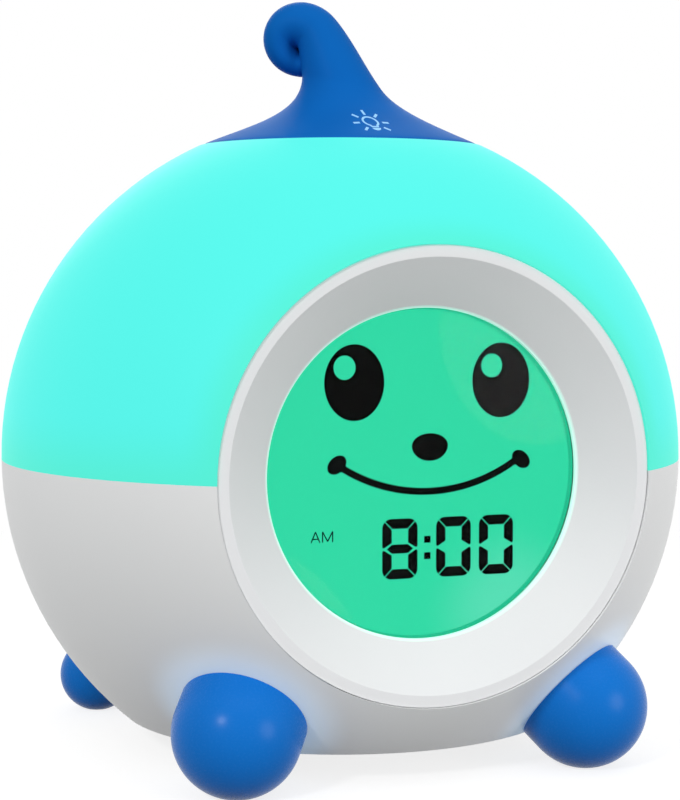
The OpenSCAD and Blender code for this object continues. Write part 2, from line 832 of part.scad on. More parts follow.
module cap_spring() color(metal)
translate([0, 0, well_z + spring_wire_r])
    coil(plunger_r + 1.2, plunger_r + 1.2, cap_boss_z - well_z - 2 * spring_wire_r, 3.5, spring_wire_r);

module cap_switch_board() color(board_green)
difference() {
    block([2 * (cap_post_x + 3), tact_w * 2, board_t], [0, 0, cap_board_z + board_t / 2]);
    for (x = [-1, 1])
        translate([x * cap_post_x, 0, cap_board_z - 1]) cylinder(r = screw_r + 2 * fit_gap, h = 4);
}

module tact_switch() {
    block([tact_w, tact_w, tact_h], [0, 0, tact_h / 2]);
    cylinder(r = tact_pin_r, h = tact_h + tact_pin_h);
}

module cap_switch() color(dark)
translate([0, 0, cap_board_z + board_t]) tact_switch();

module cap_switch_screws() color(metal)
for (x = [-1, 1])
    translate([x * cap_post_x, 0, cap_board_z]) screw(board_screw_l);

// ---------- rear ----------

function button_place(i) = [(i % 3 - 1) * button_step_x, 0, button_top_z - floor(i / 3) * button_step_z];

module rear_panel() color(white)
at_centre() difference() {
    union() {
        rod_y(panel_r, panel_in_y, rear_face_y);
        translate([0, 0, speaker_z])
            ring_y(speaker_r + fit_gap, speaker_r + fit_gap + 1.6, panel_in_y - 3, panel_in_y + 0.5);
        for (x = [-1, 1]) {
            translate([x * button_step_x / 2, 0, button_top_z - button_step_z / 2])
                rod_y(2.2, button_board_y + board_t, panel_in_y + 0.5);
            block([3, panel_in_y - power_board_rear_y + power_board_l, bracket_h],
                [x * 5, (panel_in_y + power_board_rear_y - power_board_l) / 2,
                    inlet_z - inlet_h / 2 - board_t - bracket_h / 2]);
        }
    }
    for (i = [0 : 5])
        translate(button_place(i)) rod_y(button_r + key_gap, panel_in_y - 1, rear_face_y + 1);
    for (x = [-1, 1]) {
        translate([x * button_step_x / 2, 0, button_top_z - button_step_z / 2])
            rod_y(pilot_r, button_board_y, panel_in_y);
        for (z = [-1, 1])
            translate([x * panel_screw_d, 0, z * panel_screw_d]) {
                rod_y(screw_r + 2 * fit_gap, panel_in_y - 1, rear_face_y + 1);
                rod_y(screw_head_r + fit_gap, rear_face_y - screw_head_h + 0.2, rear_face_y + 1);
            }
    }
    for (i = [-3 : 3], j = [-3 : 3])
        if (norm([i, j]) < 3.3)
            translate([i * grille_step, 0, speaker_z + j * grille_step])
                rod_y(grille_hole_r, panel_in_y - 1, rear_face_y + 1);
    translate([0, 0, inlet_z])
        oval_y(inlet_w + 2 * fit_gap, inlet_h + 2 * fit_gap, panel_in_y - 1, rear_face_y + 1);
    translate([12, 0, inlet_z + 4]) rod_y(0.8, panel_in_y - 1, rear_face_y + 1);
}

module rear_button(i) color(white)
at_centre() translate(button_place(i)) {
    rod_y(button_r, panel_in_y - 0.5, rear_face_y + button_out - 0.5);
    translate([0, rear_face_y + button_out - 0.5, 0])
        turn_y([[0, 0], [button_r, 0], [button_r - 0.15, 0.3], [button_r - 0.5, 0.5], [0, 0.5]]);
    rod_y(button_r + button_flange, panel_in_y - slide_gap - button_flange_t, panel_in_y - slide_gap);
}

module set_button() rear_button(0);
module up_button() rear_button(1);
module sound_button() rear_button(2);
module alarm_button() rear_button(3);
module down_button() rear_button(4);
module volume_button() rear_button(5);

module button_board() color(board_green)
at_centre() difference() {
    block([button_board_w, board_t, button_board_h],
        [0, button_board_y + board_t / 2, button_top_z - button_step_z / 2 + 1]);
    for (x = [-1, 1])
        translate([x * button_step_x / 2, 0, button_top_z - button_step_z / 2])
            rod_y(screw_r + 2 * fit_gap, button_board_y - 1, button_board_y + 3);
}

module button_switches() color(dark)
at_centre() for (i = [0 : 5])
    translate(button_place(i) + [0, button_board_y + board_t, 0]) {
        translate([0, tact_h / 2, 0]) cube([tact_w, tact_h, tact_w], center = true);
        rod_y(tact_pin_r, 0, button_end_y - button_board_y - board_t);
    }

module button_board_screws() color(metal)
at_centre() for (x = [-1, 1])
    translate([x * button_step_x / 2, button_board_y, button_top_z - button_step_z / 2])
        rotate([-90, 0, 0]) screw(board_screw_l);

module rear_panel_screws() color(metal)
at_centre() for (x = [-1, 1], z = [-1, 1])
    translate([x * panel_screw_d, rear_face_y - screw_head_h + 0.2, z * panel_screw_d])
        rotate([90, 0, 0]) screw(case_screw_l);

module speaker_basket() color(dark)
at_centre() {
    block(terminal_size, [plug_x[0], terminal_y + terminal_size[1] / 2, terminal_z]);
    translate([0, 0, speaker_z]) turn_y([
        [speaker_r, panel_in_y], [speaker_r - 2, panel_in_y], [speaker_r - 2, panel_in_y - 1.2],
        [speaker_r * 0.6 - 1, panel_in_y - 5], [0, panel_in_y - 5],
        [0, panel_in_y - 6.2], [speaker_r * 0.6, panel_in_y - 6.2],
        [speaker_r - 0.8, panel_in_y - speaker_rim_t], [speaker_r, panel_in_y - speaker_rim_t]]);
}

module speaker_cone() color("#5b5b58")
at_centre() translate([0, 0, speaker_z])
    turn_y([
        [speaker_r - 2, panel_in_y - 0.2], [speaker_r - 2, panel_in_y - 0.9],
        [4, panel_in_y - 4], [0, panel_in_y - 3.6], [0, panel_in_y - 3], [4, panel_in_y - 3.4]]);

module speaker_magnet() color(metal)
at_centre() translate([0, 0, speaker_z])
    rod_y(speaker_r * 0.58, panel_in_y - 10.4, panel_in_y - 6.2);

module usb_inlet() color(metal)
at_centre() translate([0, 0, inlet_z]) difference() {
    oval_y(inlet_w, inlet_h, rear_face_y - 1 - inlet_l, rear_face_y - 1);
    difference() {
        oval_y(inlet_w - 2 * inlet_wall, inlet_h - 2 * inlet_wall, rear_face_y - inlet_l, rear_face_y);
        block([inlet_w - inlet_h, inlet_l, 0.7], [0, rear_face_y - inlet_l / 2 - 1.6, 0]);
    }
}

module power_board() color(board_green)
at_centre() block([power_board_w, power_board_l, board_t],
    [0, power_board_rear_y - power_board_l / 2, inlet_z - inlet_h / 2 - board_t / 2]);

// ---------- batteries ----------

module battery_door() color(white)
difference() {
    intersection() {
        door_outline(0);
        slab(base_h, base_h + door_t);
    }
    for (s = [-1, 1])
        translate([0, bay_y + s * door_screw_off, base_h - 1]) {
            cylinder(r = screw_r + 2 * fit_gap, h = 5);
            cylinder(r = screw_head_r + fit_gap, h = 1 + screw_head_h - 0.4);
        }
    for (i = [-3 : 3])
        block([grip_l, grip_w, grip_w], [0, bay_y + i * grip_step, base_h]);
}

module battery_door_screws() color(metal)
for (s = [-1, 1])
    translate([0, bay_y + s * door_screw_off, base_h + screw_head_h - 0.4]) screw(case_screw_l);

module batteries() color("#3b7f4f")
for (i = [-1 : 1])
    translate([i % 2 == 0 ? -cell_shift : cell_shift, bay_y + i * cell_step, cell_z])
        rotate([0, i % 2 == 0 ? -90 : 90, 0]) translate([0, 0, -cell_l / 2]) {
            cylinder(r = cell_d / 2, h = cell_l - 1);
            cylinder(r = 1.9, h = cell_l);
        }

module battery_contacts() color(metal)
for (s = [-1, 1], i = [-1 : 1])
    block([contact_t, cell_d - 1.5, cell_d - 2],
        [s * (bay_l - contact_t) / 2, bay_y + i * cell_step, cell_z]);

module battery_springs() color(metal)
for (i = [-1 : 1])
    let (s = i % 2 == 0 ? 1 : -1)
    translate([s * (cell_end + cell_spring_wire_r + slide_gap), bay_y + i * cell_step, cell_z])
        rotate([0, s * 90, 0])
            coil(2.2, 3.8, contact_face - cell_end - 2 * (cell_spring_wire_r + slide_gap), 3,
                cell_spring_wire_r);

// ---------- feet ----------

module foot(place, ball_r, neck_r) {
    v = place - [0, 0, centre_h];
    far = norm(v);
    difference() {
        union() {
            difference() {
                along_foot(place) rotate_extrude() intersection() {
                    union() {
                        translate([0, far]) circle(r = ball_r);
                        translate([0, body_r - foot_seat]) square([ball_r, far - body_r + foot_seat]);
                    }
                    square([2 * ball_r, 2 * far]);
                }
                at_centre() sphere(r = body_r + fit_gap);
            }
            along_foot(place)
                translate([0, 0, body_r - foot_seat]) cylinder(r = neck_r, h = far - body_r + foot_seat);
        }
        slab(-body_r, 0);
        along_foot(place)
            translate([0, 0, body_r - foot_seat - 1]) cylinder(r = pilot_r, h = foot_screw_l + 1);
    }
}

module front_foot_right() color(blue) foot(front_foot, front_foot_r, front_neck_r);
module front_foot_left() color(blue) mirror([1, 0, 0]) foot(front_foot, front_foot_r, front_neck_r);
module rear_foot_right() color(blue) foot(rear_foot, rear_foot_r, rear_neck_r);
module rear_foot_left() color(blue) mirror([1, 0, 0]) foot(rear_foot, rear_foot_r, rear_neck_r);

module foot_screws() color(metal)
both_sides() for (place = [front_foot, rear_foot])
    along_foot(place) translate([0, 0, body_r - foot_seat - foot_floor]) screw(foot_screw_l);

// ---------- leads ----------

module speaker_leads() color("#b3262a")
for (x = [plug_x[0] - lead_pair, plug_x[0] + lead_pair])
    wire([[x, plug_y, lead_z], [x, terminal_y - terminal_bend, lead_z],
        [x, terminal_y - terminal_bend, centre_h + terminal_z], [x, terminal_y, centre_h + terminal_z]],
        lead_r);

module key_switch_leads() color("#e3b62b")
wire([[plug_x[1], plug_y, lead_z], [plug_x[1], key_lead[1], lead_z], [key_lead[0], key_lead[1], lead_z],
    [key_lead[0], key_lead[1], tray_top + board_t + key_lead_rise],
    [key_lead[0], key_lead_bend_y, tray_top + board_t + 2 * key_lead_rise],
    [key_lead[0], key_lead_bend_y, cap_board_z]], lead_r);

module power_leads() color(dark)
for (x = [power_lead_x - lead_pair, power_lead_x + lead_pair])
    wire([[x, plug_y, lead_z], [x, power_lead_y, lead_z],
        [x, power_lead_y, centre_h + inlet_z - inlet_h / 2]], lead_r);

lower_housing();
light_dome();
front_bezel();
display_lens();
lcd_frame();
lcd_panel();
zebra_strips();
backlight_diffuser();
main_board();
backlight_leds();
board_chips();
board_capacitors();
board_connectors();
board_screws();
display_screws();
reflector_tray();
night_light_board();
night_light_leds();
tray_screws();
curl_cap();
cap_plunger();
cap_spring();
cap_retainer();
cap_switch_board();
cap_switch();
cap_switch_screws();
rear_panel();
set_button();
up_button();
sound_button();
alarm_button();
down_button();
volume_button();
button_board();
button_switches();
button_board_screws();
rear_panel_screws();
speaker_basket();
speaker_cone();
speaker_magnet();
usb_inlet();
power_board();
battery_door();
battery_door_screws();
batteries();
battery_contacts();
battery_springs();
front_foot_left();
front_foot_right();
rear_foot_left();
rear_foot_right();
foot_screws();
speaker_leads();
key_switch_leads();
power_leads();
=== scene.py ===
import json
import math

import bmesh
import bpy
from mathutils import Matrix, Vector
from mathutils.bvhtree import BVHTree


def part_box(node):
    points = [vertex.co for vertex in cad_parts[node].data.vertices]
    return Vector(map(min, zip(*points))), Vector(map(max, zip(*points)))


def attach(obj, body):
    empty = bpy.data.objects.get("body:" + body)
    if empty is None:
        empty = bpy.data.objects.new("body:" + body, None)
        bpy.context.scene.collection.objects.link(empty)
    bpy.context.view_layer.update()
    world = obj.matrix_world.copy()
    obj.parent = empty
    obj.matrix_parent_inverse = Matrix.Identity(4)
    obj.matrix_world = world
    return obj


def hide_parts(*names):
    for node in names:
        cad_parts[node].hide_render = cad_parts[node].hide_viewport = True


# A ball-shaped alarm clock for a child's bedside: a glowing upper dome, a white lower half on four
# blue feet, a round green display in a dished bezel and a curled blue key on top.
# The solids set every place and size. Metres, with sizes written in millimetres times MM.
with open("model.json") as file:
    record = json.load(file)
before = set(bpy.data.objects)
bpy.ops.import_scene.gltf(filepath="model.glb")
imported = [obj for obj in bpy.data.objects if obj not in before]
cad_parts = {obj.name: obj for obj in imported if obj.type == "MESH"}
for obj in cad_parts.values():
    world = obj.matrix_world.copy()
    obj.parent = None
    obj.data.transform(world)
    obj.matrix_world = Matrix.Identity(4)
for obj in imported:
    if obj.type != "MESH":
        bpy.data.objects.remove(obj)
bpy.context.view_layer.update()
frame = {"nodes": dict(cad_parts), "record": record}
MM = 0.001


# ---------- places read from the solids ----------

def middle(node):
    """The middle of a solid's box."""
    low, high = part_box(node)
    return (low + high) / 2


def half_width(node):
    """Half a solid's width from left to right, which is the radius of a round one."""
    low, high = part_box(node)
    return (high.x - low.x) / 2


BALL_R = half_width("lower_housing")
BALL = Vector((0, 0, middle("front_bezel").z))
SEAM_Z = BALL.z

# The bezel and its window are round about a line along Y through the ball's middle. The dish runs
# from the crest in to the window's edge, and the lens lies behind that edge
BEZEL_R = 39.7 * MM
CREST_R = 37.6 * MM
CREST_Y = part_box("front_bezel")[0].y
LENS_R = half_width("display_lens")
LENS_FRONT_Y, LENS_BACK_Y = (corner.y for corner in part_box("display_lens"))
WINDOW_R = LENS_R - 2.1 * MM
WINDOW_Y = LENS_FRONT_Y - 0.8 * MM
DISPLAY_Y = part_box("lcd_panel")[0].y

# The curled key stands on the ball's axis
KEY_R = half_width("curl_cap")
KEY_RIM = 0.9 * MM
KEY_EDGE_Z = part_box("curl_cap")[0].z + KEY_RIM

# Each foot is a ball with a thin slice cut off where it stands
FRONT_FOOT_R = 11.4 * MM
REAR_FOOT_R = 7.6 * MM
FOOT_SLICE = 0.4 * MM

SCREW_HEAD_R = 2.4 * MM
SCREW_HEAD_H = 1.6 * MM


def foot_ball(node):
    """Radius and middle of the ball that a foot is made of."""
    radius = FRONT_FOOT_R if node.startswith("front") else REAR_FOOT_R
    low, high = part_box(node)
    x = high.x - radius if low.x > 0 else low.x + radius
    y = low.y + radius if low.y < 0 else high.y - radius
    return radius, Vector((x, y, radius - FOOT_SLICE))


def foot_seat(node):
    """Where a foot's axis meets the wall of the clock."""
    return BALL + (foot_ball(node)[1] - BALL).normalized() * BALL_R


# Round shapes are made about Z. ABOUT_Y lays one along Y, so that its heights run backwards, and
# AT_BALL takes it to the ball's middle
ABOUT_Y = Matrix.Rotation(math.radians(-90), 4, "X")
AT_BALL = Matrix.Translation(BALL)


# ---------- node trees ----------

def linear(hex_colour):
    """An sRGB hex colour as the linear colour that a socket takes."""
    channels = [int(hex_colour[i:i + 2], 16) / 255 for i in (1, 3, 5)]
    return (*(c / 12.92 if c <= 0.04045 else ((c + 0.055) / 1.055) ** 2.4 for c in channels), 1)


def add(tree, kind, settings=None, links=None):
    """Adds a node. Settings go to its sockets or properties, links run to its sockets."""
    node = tree.nodes.new(kind)
    for name, value in (settings or {}).items():
        if isinstance(name, int) or name in node.inputs:
            node.inputs[name].default_value = value
        else:
            setattr(node, name, value)
    for name, socket in (links or {}).items():
        tree.links.new(socket, node.inputs[name])
    return node


def surface(name, **sockets):
    """A material with one shader, and where on the piece a point lies."""
    material = bpy.data.materials.new(name)
    material.use_nodes = True
    tree = material.node_tree
    tree.nodes.clear()
    shader = add(tree, "ShaderNodeBsdfPrincipled", sockets)
    add(tree, "ShaderNodeOutputMaterial", links={"Surface": shader.outputs["BSDF"]})
    place = add(tree, "ShaderNodeTexCoord").outputs["Object"]
    return material, tree, shader, place


def grain(tree, shader, place, size, depth, roughness=None):
    """A fine moulded or blasted grain, with its size and depth, that also varies the gloss. Real
    ones are 0.02 to 0.1 mm, too fine to show, so they are drawn coarser."""
    noise = add(tree, "ShaderNodeTexNoise", {"Scale": 1 / size, "Detail": 3}, {"Vector": place})
    bump = add(tree, "ShaderNodeBump", {"Distance": depth, "Strength": 0.6},
               {"Height": noise.outputs["Fac"]})
    tree.links.new(bump.outputs["Normal"], shader.inputs["Normal"])
    if roughness:
        spread = add(tree, "ShaderNodeMapRange", {"To Min": roughness[0], "To Max": roughness[1]},
                     {"Value": noise.outputs["Fac"]})
        tree.links.new(spread.outputs["Result"], shader.inputs["Roughness"])


def mottle(tree, shader, place, light, dark, size):
    """A slow change between two close colours, as thick and thin walls of a moulding show."""
    noise = add(tree, "ShaderNodeTexNoise", {"Scale": 1 / size, "Detail": 1}, {"Vector": place})
    mix = add(tree, "ShaderNodeMix", {"data_type": "RGBA", 6: linear(light), 7: linear(dark)},
              {0: noise.outputs["Fac"]})
    tree.links.new(mix.outputs[2], shader.inputs["Base Color"])


def from_display_axis(tree, place):
    """How far a point lies from the axis of the display and bezel, which runs along Y."""
    across = add(tree, "ShaderNodeVectorMath", {
        "operation": "MULTIPLY_ADD", 1: (1, 0, 1), 2: (0, 0, -SEAM_Z)}, {0: place})
    return add(tree, "ShaderNodeVectorMath", {"operation": "LENGTH"},
               {0: across.outputs[0]}).outputs["Value"]


# ---------- finishes ----------

def white_abs():
    """ABS injection-moulded in a polished tool: clean white with a soft satin reflection. Round the
    front feet a pale blue glow is painted in, as painted light for what the feet throw back."""
    material, tree, shader, place = surface("white_abs", IOR=1.52, **{"Emission Strength": 0.2})
    mottle(tree, shader, place, "#f0f1f1", "#eceded", 30 * MM)
    grain(tree, shader, place, 0.5 * MM, 0.004 * MM, (0.36, 0.44))
    # Painted light: a pale blue emission round the front feet, fading out over a few millimetres,
    # stands for the light that the glossy blue feet throw back
    painted_glow_reach = 8 * MM
    to_feet = [add(tree, "ShaderNodeVectorMath", {"operation": "DISTANCE", 1: seat}, {0: place})
               for seat in (foot_seat("front_foot_left"), foot_seat("front_foot_right"))]
    nearest = add(tree, "ShaderNodeMath", {"operation": "MINIMUM"},
                  {k: far.outputs["Value"] for k, far in enumerate(to_feet)})
    fading = add(tree, "ShaderNodeMapRange", {
        "interpolation_type": "SMOOTHSTEP",
        "From Min": FRONT_FOOT_R, "From Max": FRONT_FOOT_R + painted_glow_reach,
    }, {"Value": nearest.outputs["Value"]})
    blue = add(tree, "ShaderNodeMix", {
        "data_type": "RGBA", 6: linear("#9fd0f2"), 7: linear("#000000"),
    }, {0: fading.outputs["Result"]})
    tree.links.new(blue.outputs[2], shader.inputs["Emission Color"])
    return material


def textured_white_abs(painted_edge_glow=False):
    """ABS from a spark-eroded tool: the same white, flatter, with a fine even grain. With a lit
    edge, a mint glow is painted round the window, as painted light for the display's green light
    running into the edge."""
    material, tree, shader, place = surface("textured_white_abs", IOR=1.52)
    mottle(tree, shader, place, "#ecedee", "#e7e8ea", 24 * MM)
    grain(tree, shader, place, 0.6 * MM, 0.02 * MM, (0.5, 0.62))
    if painted_edge_glow:
        # Painted light: a mint emission within half a millimetre of the window's edge stands for
        # the display's green light in the white
        shader.inputs["Emission Strength"].default_value = 0.55
        painted_glow_edge = add(tree, "ShaderNodeMapRange", {
            "From Min": WINDOW_R + 0.05 * MM, "From Max": WINDOW_R + 0.5 * MM,
        }, {"Value": from_display_axis(tree, place)})
        glow = add(tree, "ShaderNodeMix", {
            "data_type": "RGBA", 6: linear("#7aefce"), 7: linear("#000000"),
        }, {0: painted_glow_edge.outputs["Result"]})
        tree.links.new(glow.outputs[2], shader.inputs["Emission Color"])
    return material


def lit_polycarbonate():
    """Milky polycarbonate lit cyan from inside: it glows evenly. Its base colour is painted light
    as well, the cyan of its glow in place of the plastic's milky white. Beside the seam and the
    bezel, where the walls behind it are closest, painted shade makes it a little greener and
    darker."""
    material, tree, shader, place = surface(
        "lit_polycarbonate", IOR=1.58, **{"Emission Strength": 1.0, "Specular IOR Level": 0.05})
    apart = add(tree, "ShaderNodeSeparateXYZ", links={"Vector": place})
    above_seam = add(tree, "ShaderNodeMapRange", {
        "interpolation_type": "SMOOTHSTEP",
        "From Min": SEAM_Z - 3 * MM, "From Max": SEAM_Z + 11 * MM,
    }, {"Value": apart.outputs["Z"]})
    beside_bezel = add(tree, "ShaderNodeMapRange", {
        "interpolation_type": "SMOOTHSTEP",
        "From Min": BEZEL_R - 1 * MM, "From Max": BEZEL_R + 6 * MM,
    }, {"Value": from_display_axis(tree, place)})
    # Painted shade: this mask falls to 0 beside the seam and the bezel, where the dome turns
    # greener and darker
    clear_of_painted_shade = add(tree, "ShaderNodeMath", {"operation": "MULTIPLY"},
                    {0: above_seam.outputs["Result"], 1: beside_bezel.outputs["Result"]})
    # Each pair is (painted shade, open). The cyan base colours are painted light: the plastic
    # itself is milky white
    painted_shade_and_open = {
        "Base Color": ("#258474", "#278a82"), "Emission Color": ("#50d6c0", "#4fd8cf")}
    for socket, (near, far) in painted_shade_and_open.items():
        mix = add(tree, "ShaderNodeMix", {"data_type": "RGBA", 6: linear(near), 7: linear(far)},
                  {0: clear_of_painted_shade.outputs["Value"]})
        tree.links.new(mix.outputs[2], shader.inputs[socket])
    grain(tree, shader, place, 0.8 * MM, 0.004 * MM, (0.42, 0.5))
    return material


def blue_key_lacquer():
    """ABS under a soft-touch lacquer: deep blue and velvety, with hardly a reflection."""
    material, tree, shader, place = surface(
        "blue_key_lacquer", IOR=1.5, **{"Specular IOR Level": 0.01})
    mottle(tree, shader, place, "#0e68bd", "#0c5dad", 14 * MM)
    grain(tree, shader, place, 0.4 * MM, 0.006 * MM, (0.4, 0.48))
    return material


def blue_foot_plastic():
    """Blue thermoplastic rubber from a polished tool: a little glossier than the key."""
    material, tree, shader, place = surface(
        "blue_foot_plastic", IOR=1.5, **{"Specular IOR Level": 0.09})
    mottle(tree, shader, place, "#0f76d2", "#0e6fc9", 14 * MM)
    grain(tree, shader, place, 0.4 * MM, 0.004 * MM, (0.24, 0.3))
    return material


def clear_acrylic():
    """A clear acrylic window with an anti-reflection coat, all but unseen: its low refractive
    index stands for the coat."""
    return surface("clear_acrylic", IOR=1.1, Roughness=0.0, **{
        "Base Color": linear("#ffffff"), "Transmission Weight": 1.0})[0]


def lit_display():
    """The glass of a negative-mode display, lit green by its light box, a little brighter
    towards the lower right, where the light box has its lamp."""
    material, tree, shader, place = surface(
        "lit_display", Roughness=0.5, **{
            "Base Color": linear("#062a1e"), "Emission Strength": 1.0, "Specular IOR Level": 0.0})
    lamp = (17 * MM, DISPLAY_Y, SEAM_Z - 25 * MM)
    to_lamp = add(tree, "ShaderNodeVectorMath", {"operation": "DISTANCE", 1: lamp}, {0: place})
    near = add(tree, "ShaderNodeMapRange", {
        "interpolation_type": "SMOOTHSTEP", "From Min": 3 * MM, "From Max": 17 * MM,
    }, {"Value": to_lamp.outputs["Value"]})
    mix = add(tree, "ShaderNodeMix", {
        "data_type": "RGBA", 6: linear("#55dbb2"), 7: linear("#2fd6a3"),
    }, {0: near.outputs["Result"]})
    tree.links.new(mix.outputs[2], shader.inputs["Emission Color"])
    return material


def painted_border_shadow():
    """Dark green, lit faintly by the display: painted shadow that the bezel's edge throws on the
    display, laid on a ring behind the window.
    """
    material, tree, shader, place = surface(
        "painted_border_shadow", Roughness=0.6, **{
            "Base Color": linear("#0a4433"), "Emission Strength": 1.0, "Specular IOR Level": 0.0})
    # The dark green of this ring is painted shadow, the shade of the bezel's edge on the display
    blotch = 9 * MM
    noise = add(tree, "ShaderNodeTexNoise", {"Scale": 1 / blotch, "Detail": 1}, {"Vector": place})
    mix = add(tree, "ShaderNodeMix", {
        "data_type": "RGBA", 6: linear("#1fb385"), 7: linear("#27bd8e"),
    }, {0: noise.outputs["Fac"]})
    tree.links.new(mix.outputs[2], shader.inputs["Emission Color"])
    return material


def display_black():
    """The dark state of the display's segments: flat black with no shine of its own."""
    material, tree, shader, place = surface(
        "display_black", Roughness=0.7, **{
            "Base Color": linear("#030303"), "Specular IOR Level": 0.0})
    grain(tree, shader, place, 0.3 * MM, 0.001 * MM)
    return material


def pad_print_blue():
    """Pad-printed ink in pale blue, slightly raised and satin."""
    material, tree, shader, place = surface("pad_print_blue", IOR=1.48)
    mottle(tree, shader, place, "#93d2ff", "#8acbfb", 2 * MM)
    grain(tree, shader, place, 0.2 * MM, 0.004 * MM, (0.4, 0.5))
    return material


def plain_plastic(name, light, dark, roughness):
    """Moulded plastic of an inner or small piece, with the soft uneven gloss of the tool."""
    material, tree, shader, place = surface(name, IOR=1.5)
    mottle(tree, shader, place, light, dark, 6 * MM)
    grain(tree, shader, place, 0.4 * MM, 0.006 * MM, roughness)
    return material


def plated_steel(name, light, dark, roughness):
    """Steel with zinc or nickel on it: bright, with the faint blotches of a barrel-plated part."""
    material, tree, shader, place = surface(name, Metallic=1.0)
    mottle(tree, shader, place, light, dark, 2 * MM)
    grain(tree, shader, place, 0.3 * MM, 0.004 * MM, roughness)
    return material


def circuit_board():
    """Green solder resist over copper: lines of track show through as a paler green. Real ones
    lie closer together, and too fine to show."""
    material, tree, shader, place = surface("circuit_board", Roughness=0.35, IOR=1.5)
    track_pitch = 6 * MM
    tracks = add(tree, "ShaderNodeTexBrick", {
        "Scale": 1 / track_pitch, "Mortar Size": 0.06, "Color1": linear("#1d6b3a"),
        "Color2": linear("#1a6436"), "Mortar": linear("#3c8f57"),
    }, {"Vector": place})
    tree.links.new(tracks.outputs["Color"], shader.inputs["Base Color"])
    return material


FINISHES = {
    "white_housing": white_abs(),
    "white_bezel": textured_white_abs(painted_edge_glow=True),
    "white_panel": textured_white_abs(),
    # Satin white: the buttons, and the tray, whose bright white throws the light back
    "white_button": plain_plastic("white_button_abs", "#e9eaec", "#e4e5e8", (0.35, 0.45)),
    "white_inner_plastic": plain_plastic("white_reflector_abs", "#f4f4f0", "#eeeeea", (0.4, 0.5)),
    "glowing_dome": lit_polycarbonate(),
    "clear_window": clear_acrylic(),
    "lcd_green": lit_display(),
    "blue_key": blue_key_lacquer(),
    "blue_foot": blue_foot_plastic(),
    # Dull rosy rubber. Its conducting layers are too fine to show
    "connector_rubber": plain_plastic("layered_silicone", "#9c7777", "#8a6565", (0.6, 0.7)),
    "circuit_board": circuit_board(),
    # A smooth white coat, the lamps' pale yellow phosphor, and epoxy that is black and nearly dull
    "white_board": plain_plastic("white_solder_resist", "#f3f3ee", "#ecece6", (0.3, 0.4)),
    "led_white": plain_plastic("led_package", "#f3efdd", "#e9e2c4", (0.3, 0.4)),
    "black_epoxy": plain_plastic("black_epoxy", "#1b1b1d", "#232326", (0.45, 0.6)),
    # Drawn aluminium with a soft shine, and waxy plastics in cream and white
    "capacitor_can": plated_steel("drawn_aluminium", "#cccdd0", "#c2c3c6", (0.3, 0.4)),
    "connector_nylon": plain_plastic("natural_nylon", "#f1ece0", "#e9e3d2", (0.4, 0.5)),
    "plunger_acetal": plain_plastic("natural_acetal", "#ececea", "#e4e4e2", (0.25, 0.35)),
    # Bright steels. The loudspeaker's is pressed from darker, duller sheet, and its cone is matt
    "screw_steel": plated_steel("zinc_plated_steel", "#c6c8cb", "#b4b7bc", (0.25, 0.38)),
    "spring_steel": plated_steel("spring_steel", "#bfc1c4", "#aeb0b4", (0.25, 0.35)),
    "speaker_steel": plated_steel("pressed_steel", "#8b8d90", "#7c7e82", (0.35, 0.5)),
    "speaker_paper": plain_plastic("pressed_paper", "#4d4c49", "#42413e", (0.8, 0.9)),
    "inlet_steel": plated_steel("nickel_plated_steel", "#cfcfcd", "#c2c2bf", (0.2, 0.3)),
    "contact_nickel": plated_steel("nickel_contact", "#d4d3cf", "#c6c5c0", (0.2, 0.3)),
    # Shiny film shrunk round a cell, and the half-gloss coats of the leads
    "cell_jacket": plain_plastic("shrink_jacket", "#3f8554", "#38794b", (0.2, 0.3)),
    "red_lead": plain_plastic("red_pvc", "#b32b2b", "#a42424", (0.4, 0.5)),
    "yellow_lead": plain_plastic("yellow_pvc", "#e3b62b", "#d9ab22", (0.4, 0.5)),
    "black_lead": plain_plastic("black_pvc", "#1c1c1f", "#242427", (0.4, 0.5)),
}
DISPLAY_BLACK = display_black()
PAINTED_BORDER_SHADOW = painted_border_shadow()
PAD_PRINT = pad_print_blue()

for part in frame["record"]["subparts"]:
    solid = frame["nodes"][part["node"]]
    solid.data.materials.clear()
    solid.data.materials.append(FINISHES[part["material_slot"]])


# ---------- meshes ----------

# Points this close are one point. The corners of a square serve several square shapes
MERGE = 0.002 * MM
SQUARE = ((-1, -1), (1, -1), (1, 1), (-1, 1))


def in_scene(name, data):
    """A new object in the scene."""
    new = bpy.data.objects.new(name, data)
    bpy.context.scene.collection.objects.link(new)
    return new


def plain_mesh(form):
    """What a form's modifiers make of it, as a mesh of its own."""
    return bpy.data.meshes.new_from_object(
        form.evaluated_get(bpy.context.evaluated_depsgraph_get()))


def shade(mesh, sharp):
    """Shades a mesh smooth and keeps only its edges over an angle sharp, in degrees."""
    mesh.polygons.foreach_set("use_smooth", [True] * len(mesh.polygons))
    mesh.set_sharp_from_angle(angle=math.radians(sharp))


def piece_of(mesh, name, material, body, stands_for=()):
    """Hands a finished mesh to its body."""
    mesh.materials.clear()
    mesh.materials.append(material)
    piece = in_scene(name, mesh)
    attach(piece, body)
    if stands_for:
        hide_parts(*stands_for)
    return piece


def closed_mesh(bm, name, sharp=35):
    """Merges doubles, points the faces outwards and shades them."""
    bmesh.ops.remove_doubles(bm, verts=bm.verts, dist=MERGE)
    bmesh.ops.recalc_face_normals(bm, faces=bm.faces)
    mesh = bpy.data.meshes.new(name)
    bm.to_mesh(mesh)
    bm.free()
    shade(mesh, sharp)
    return mesh


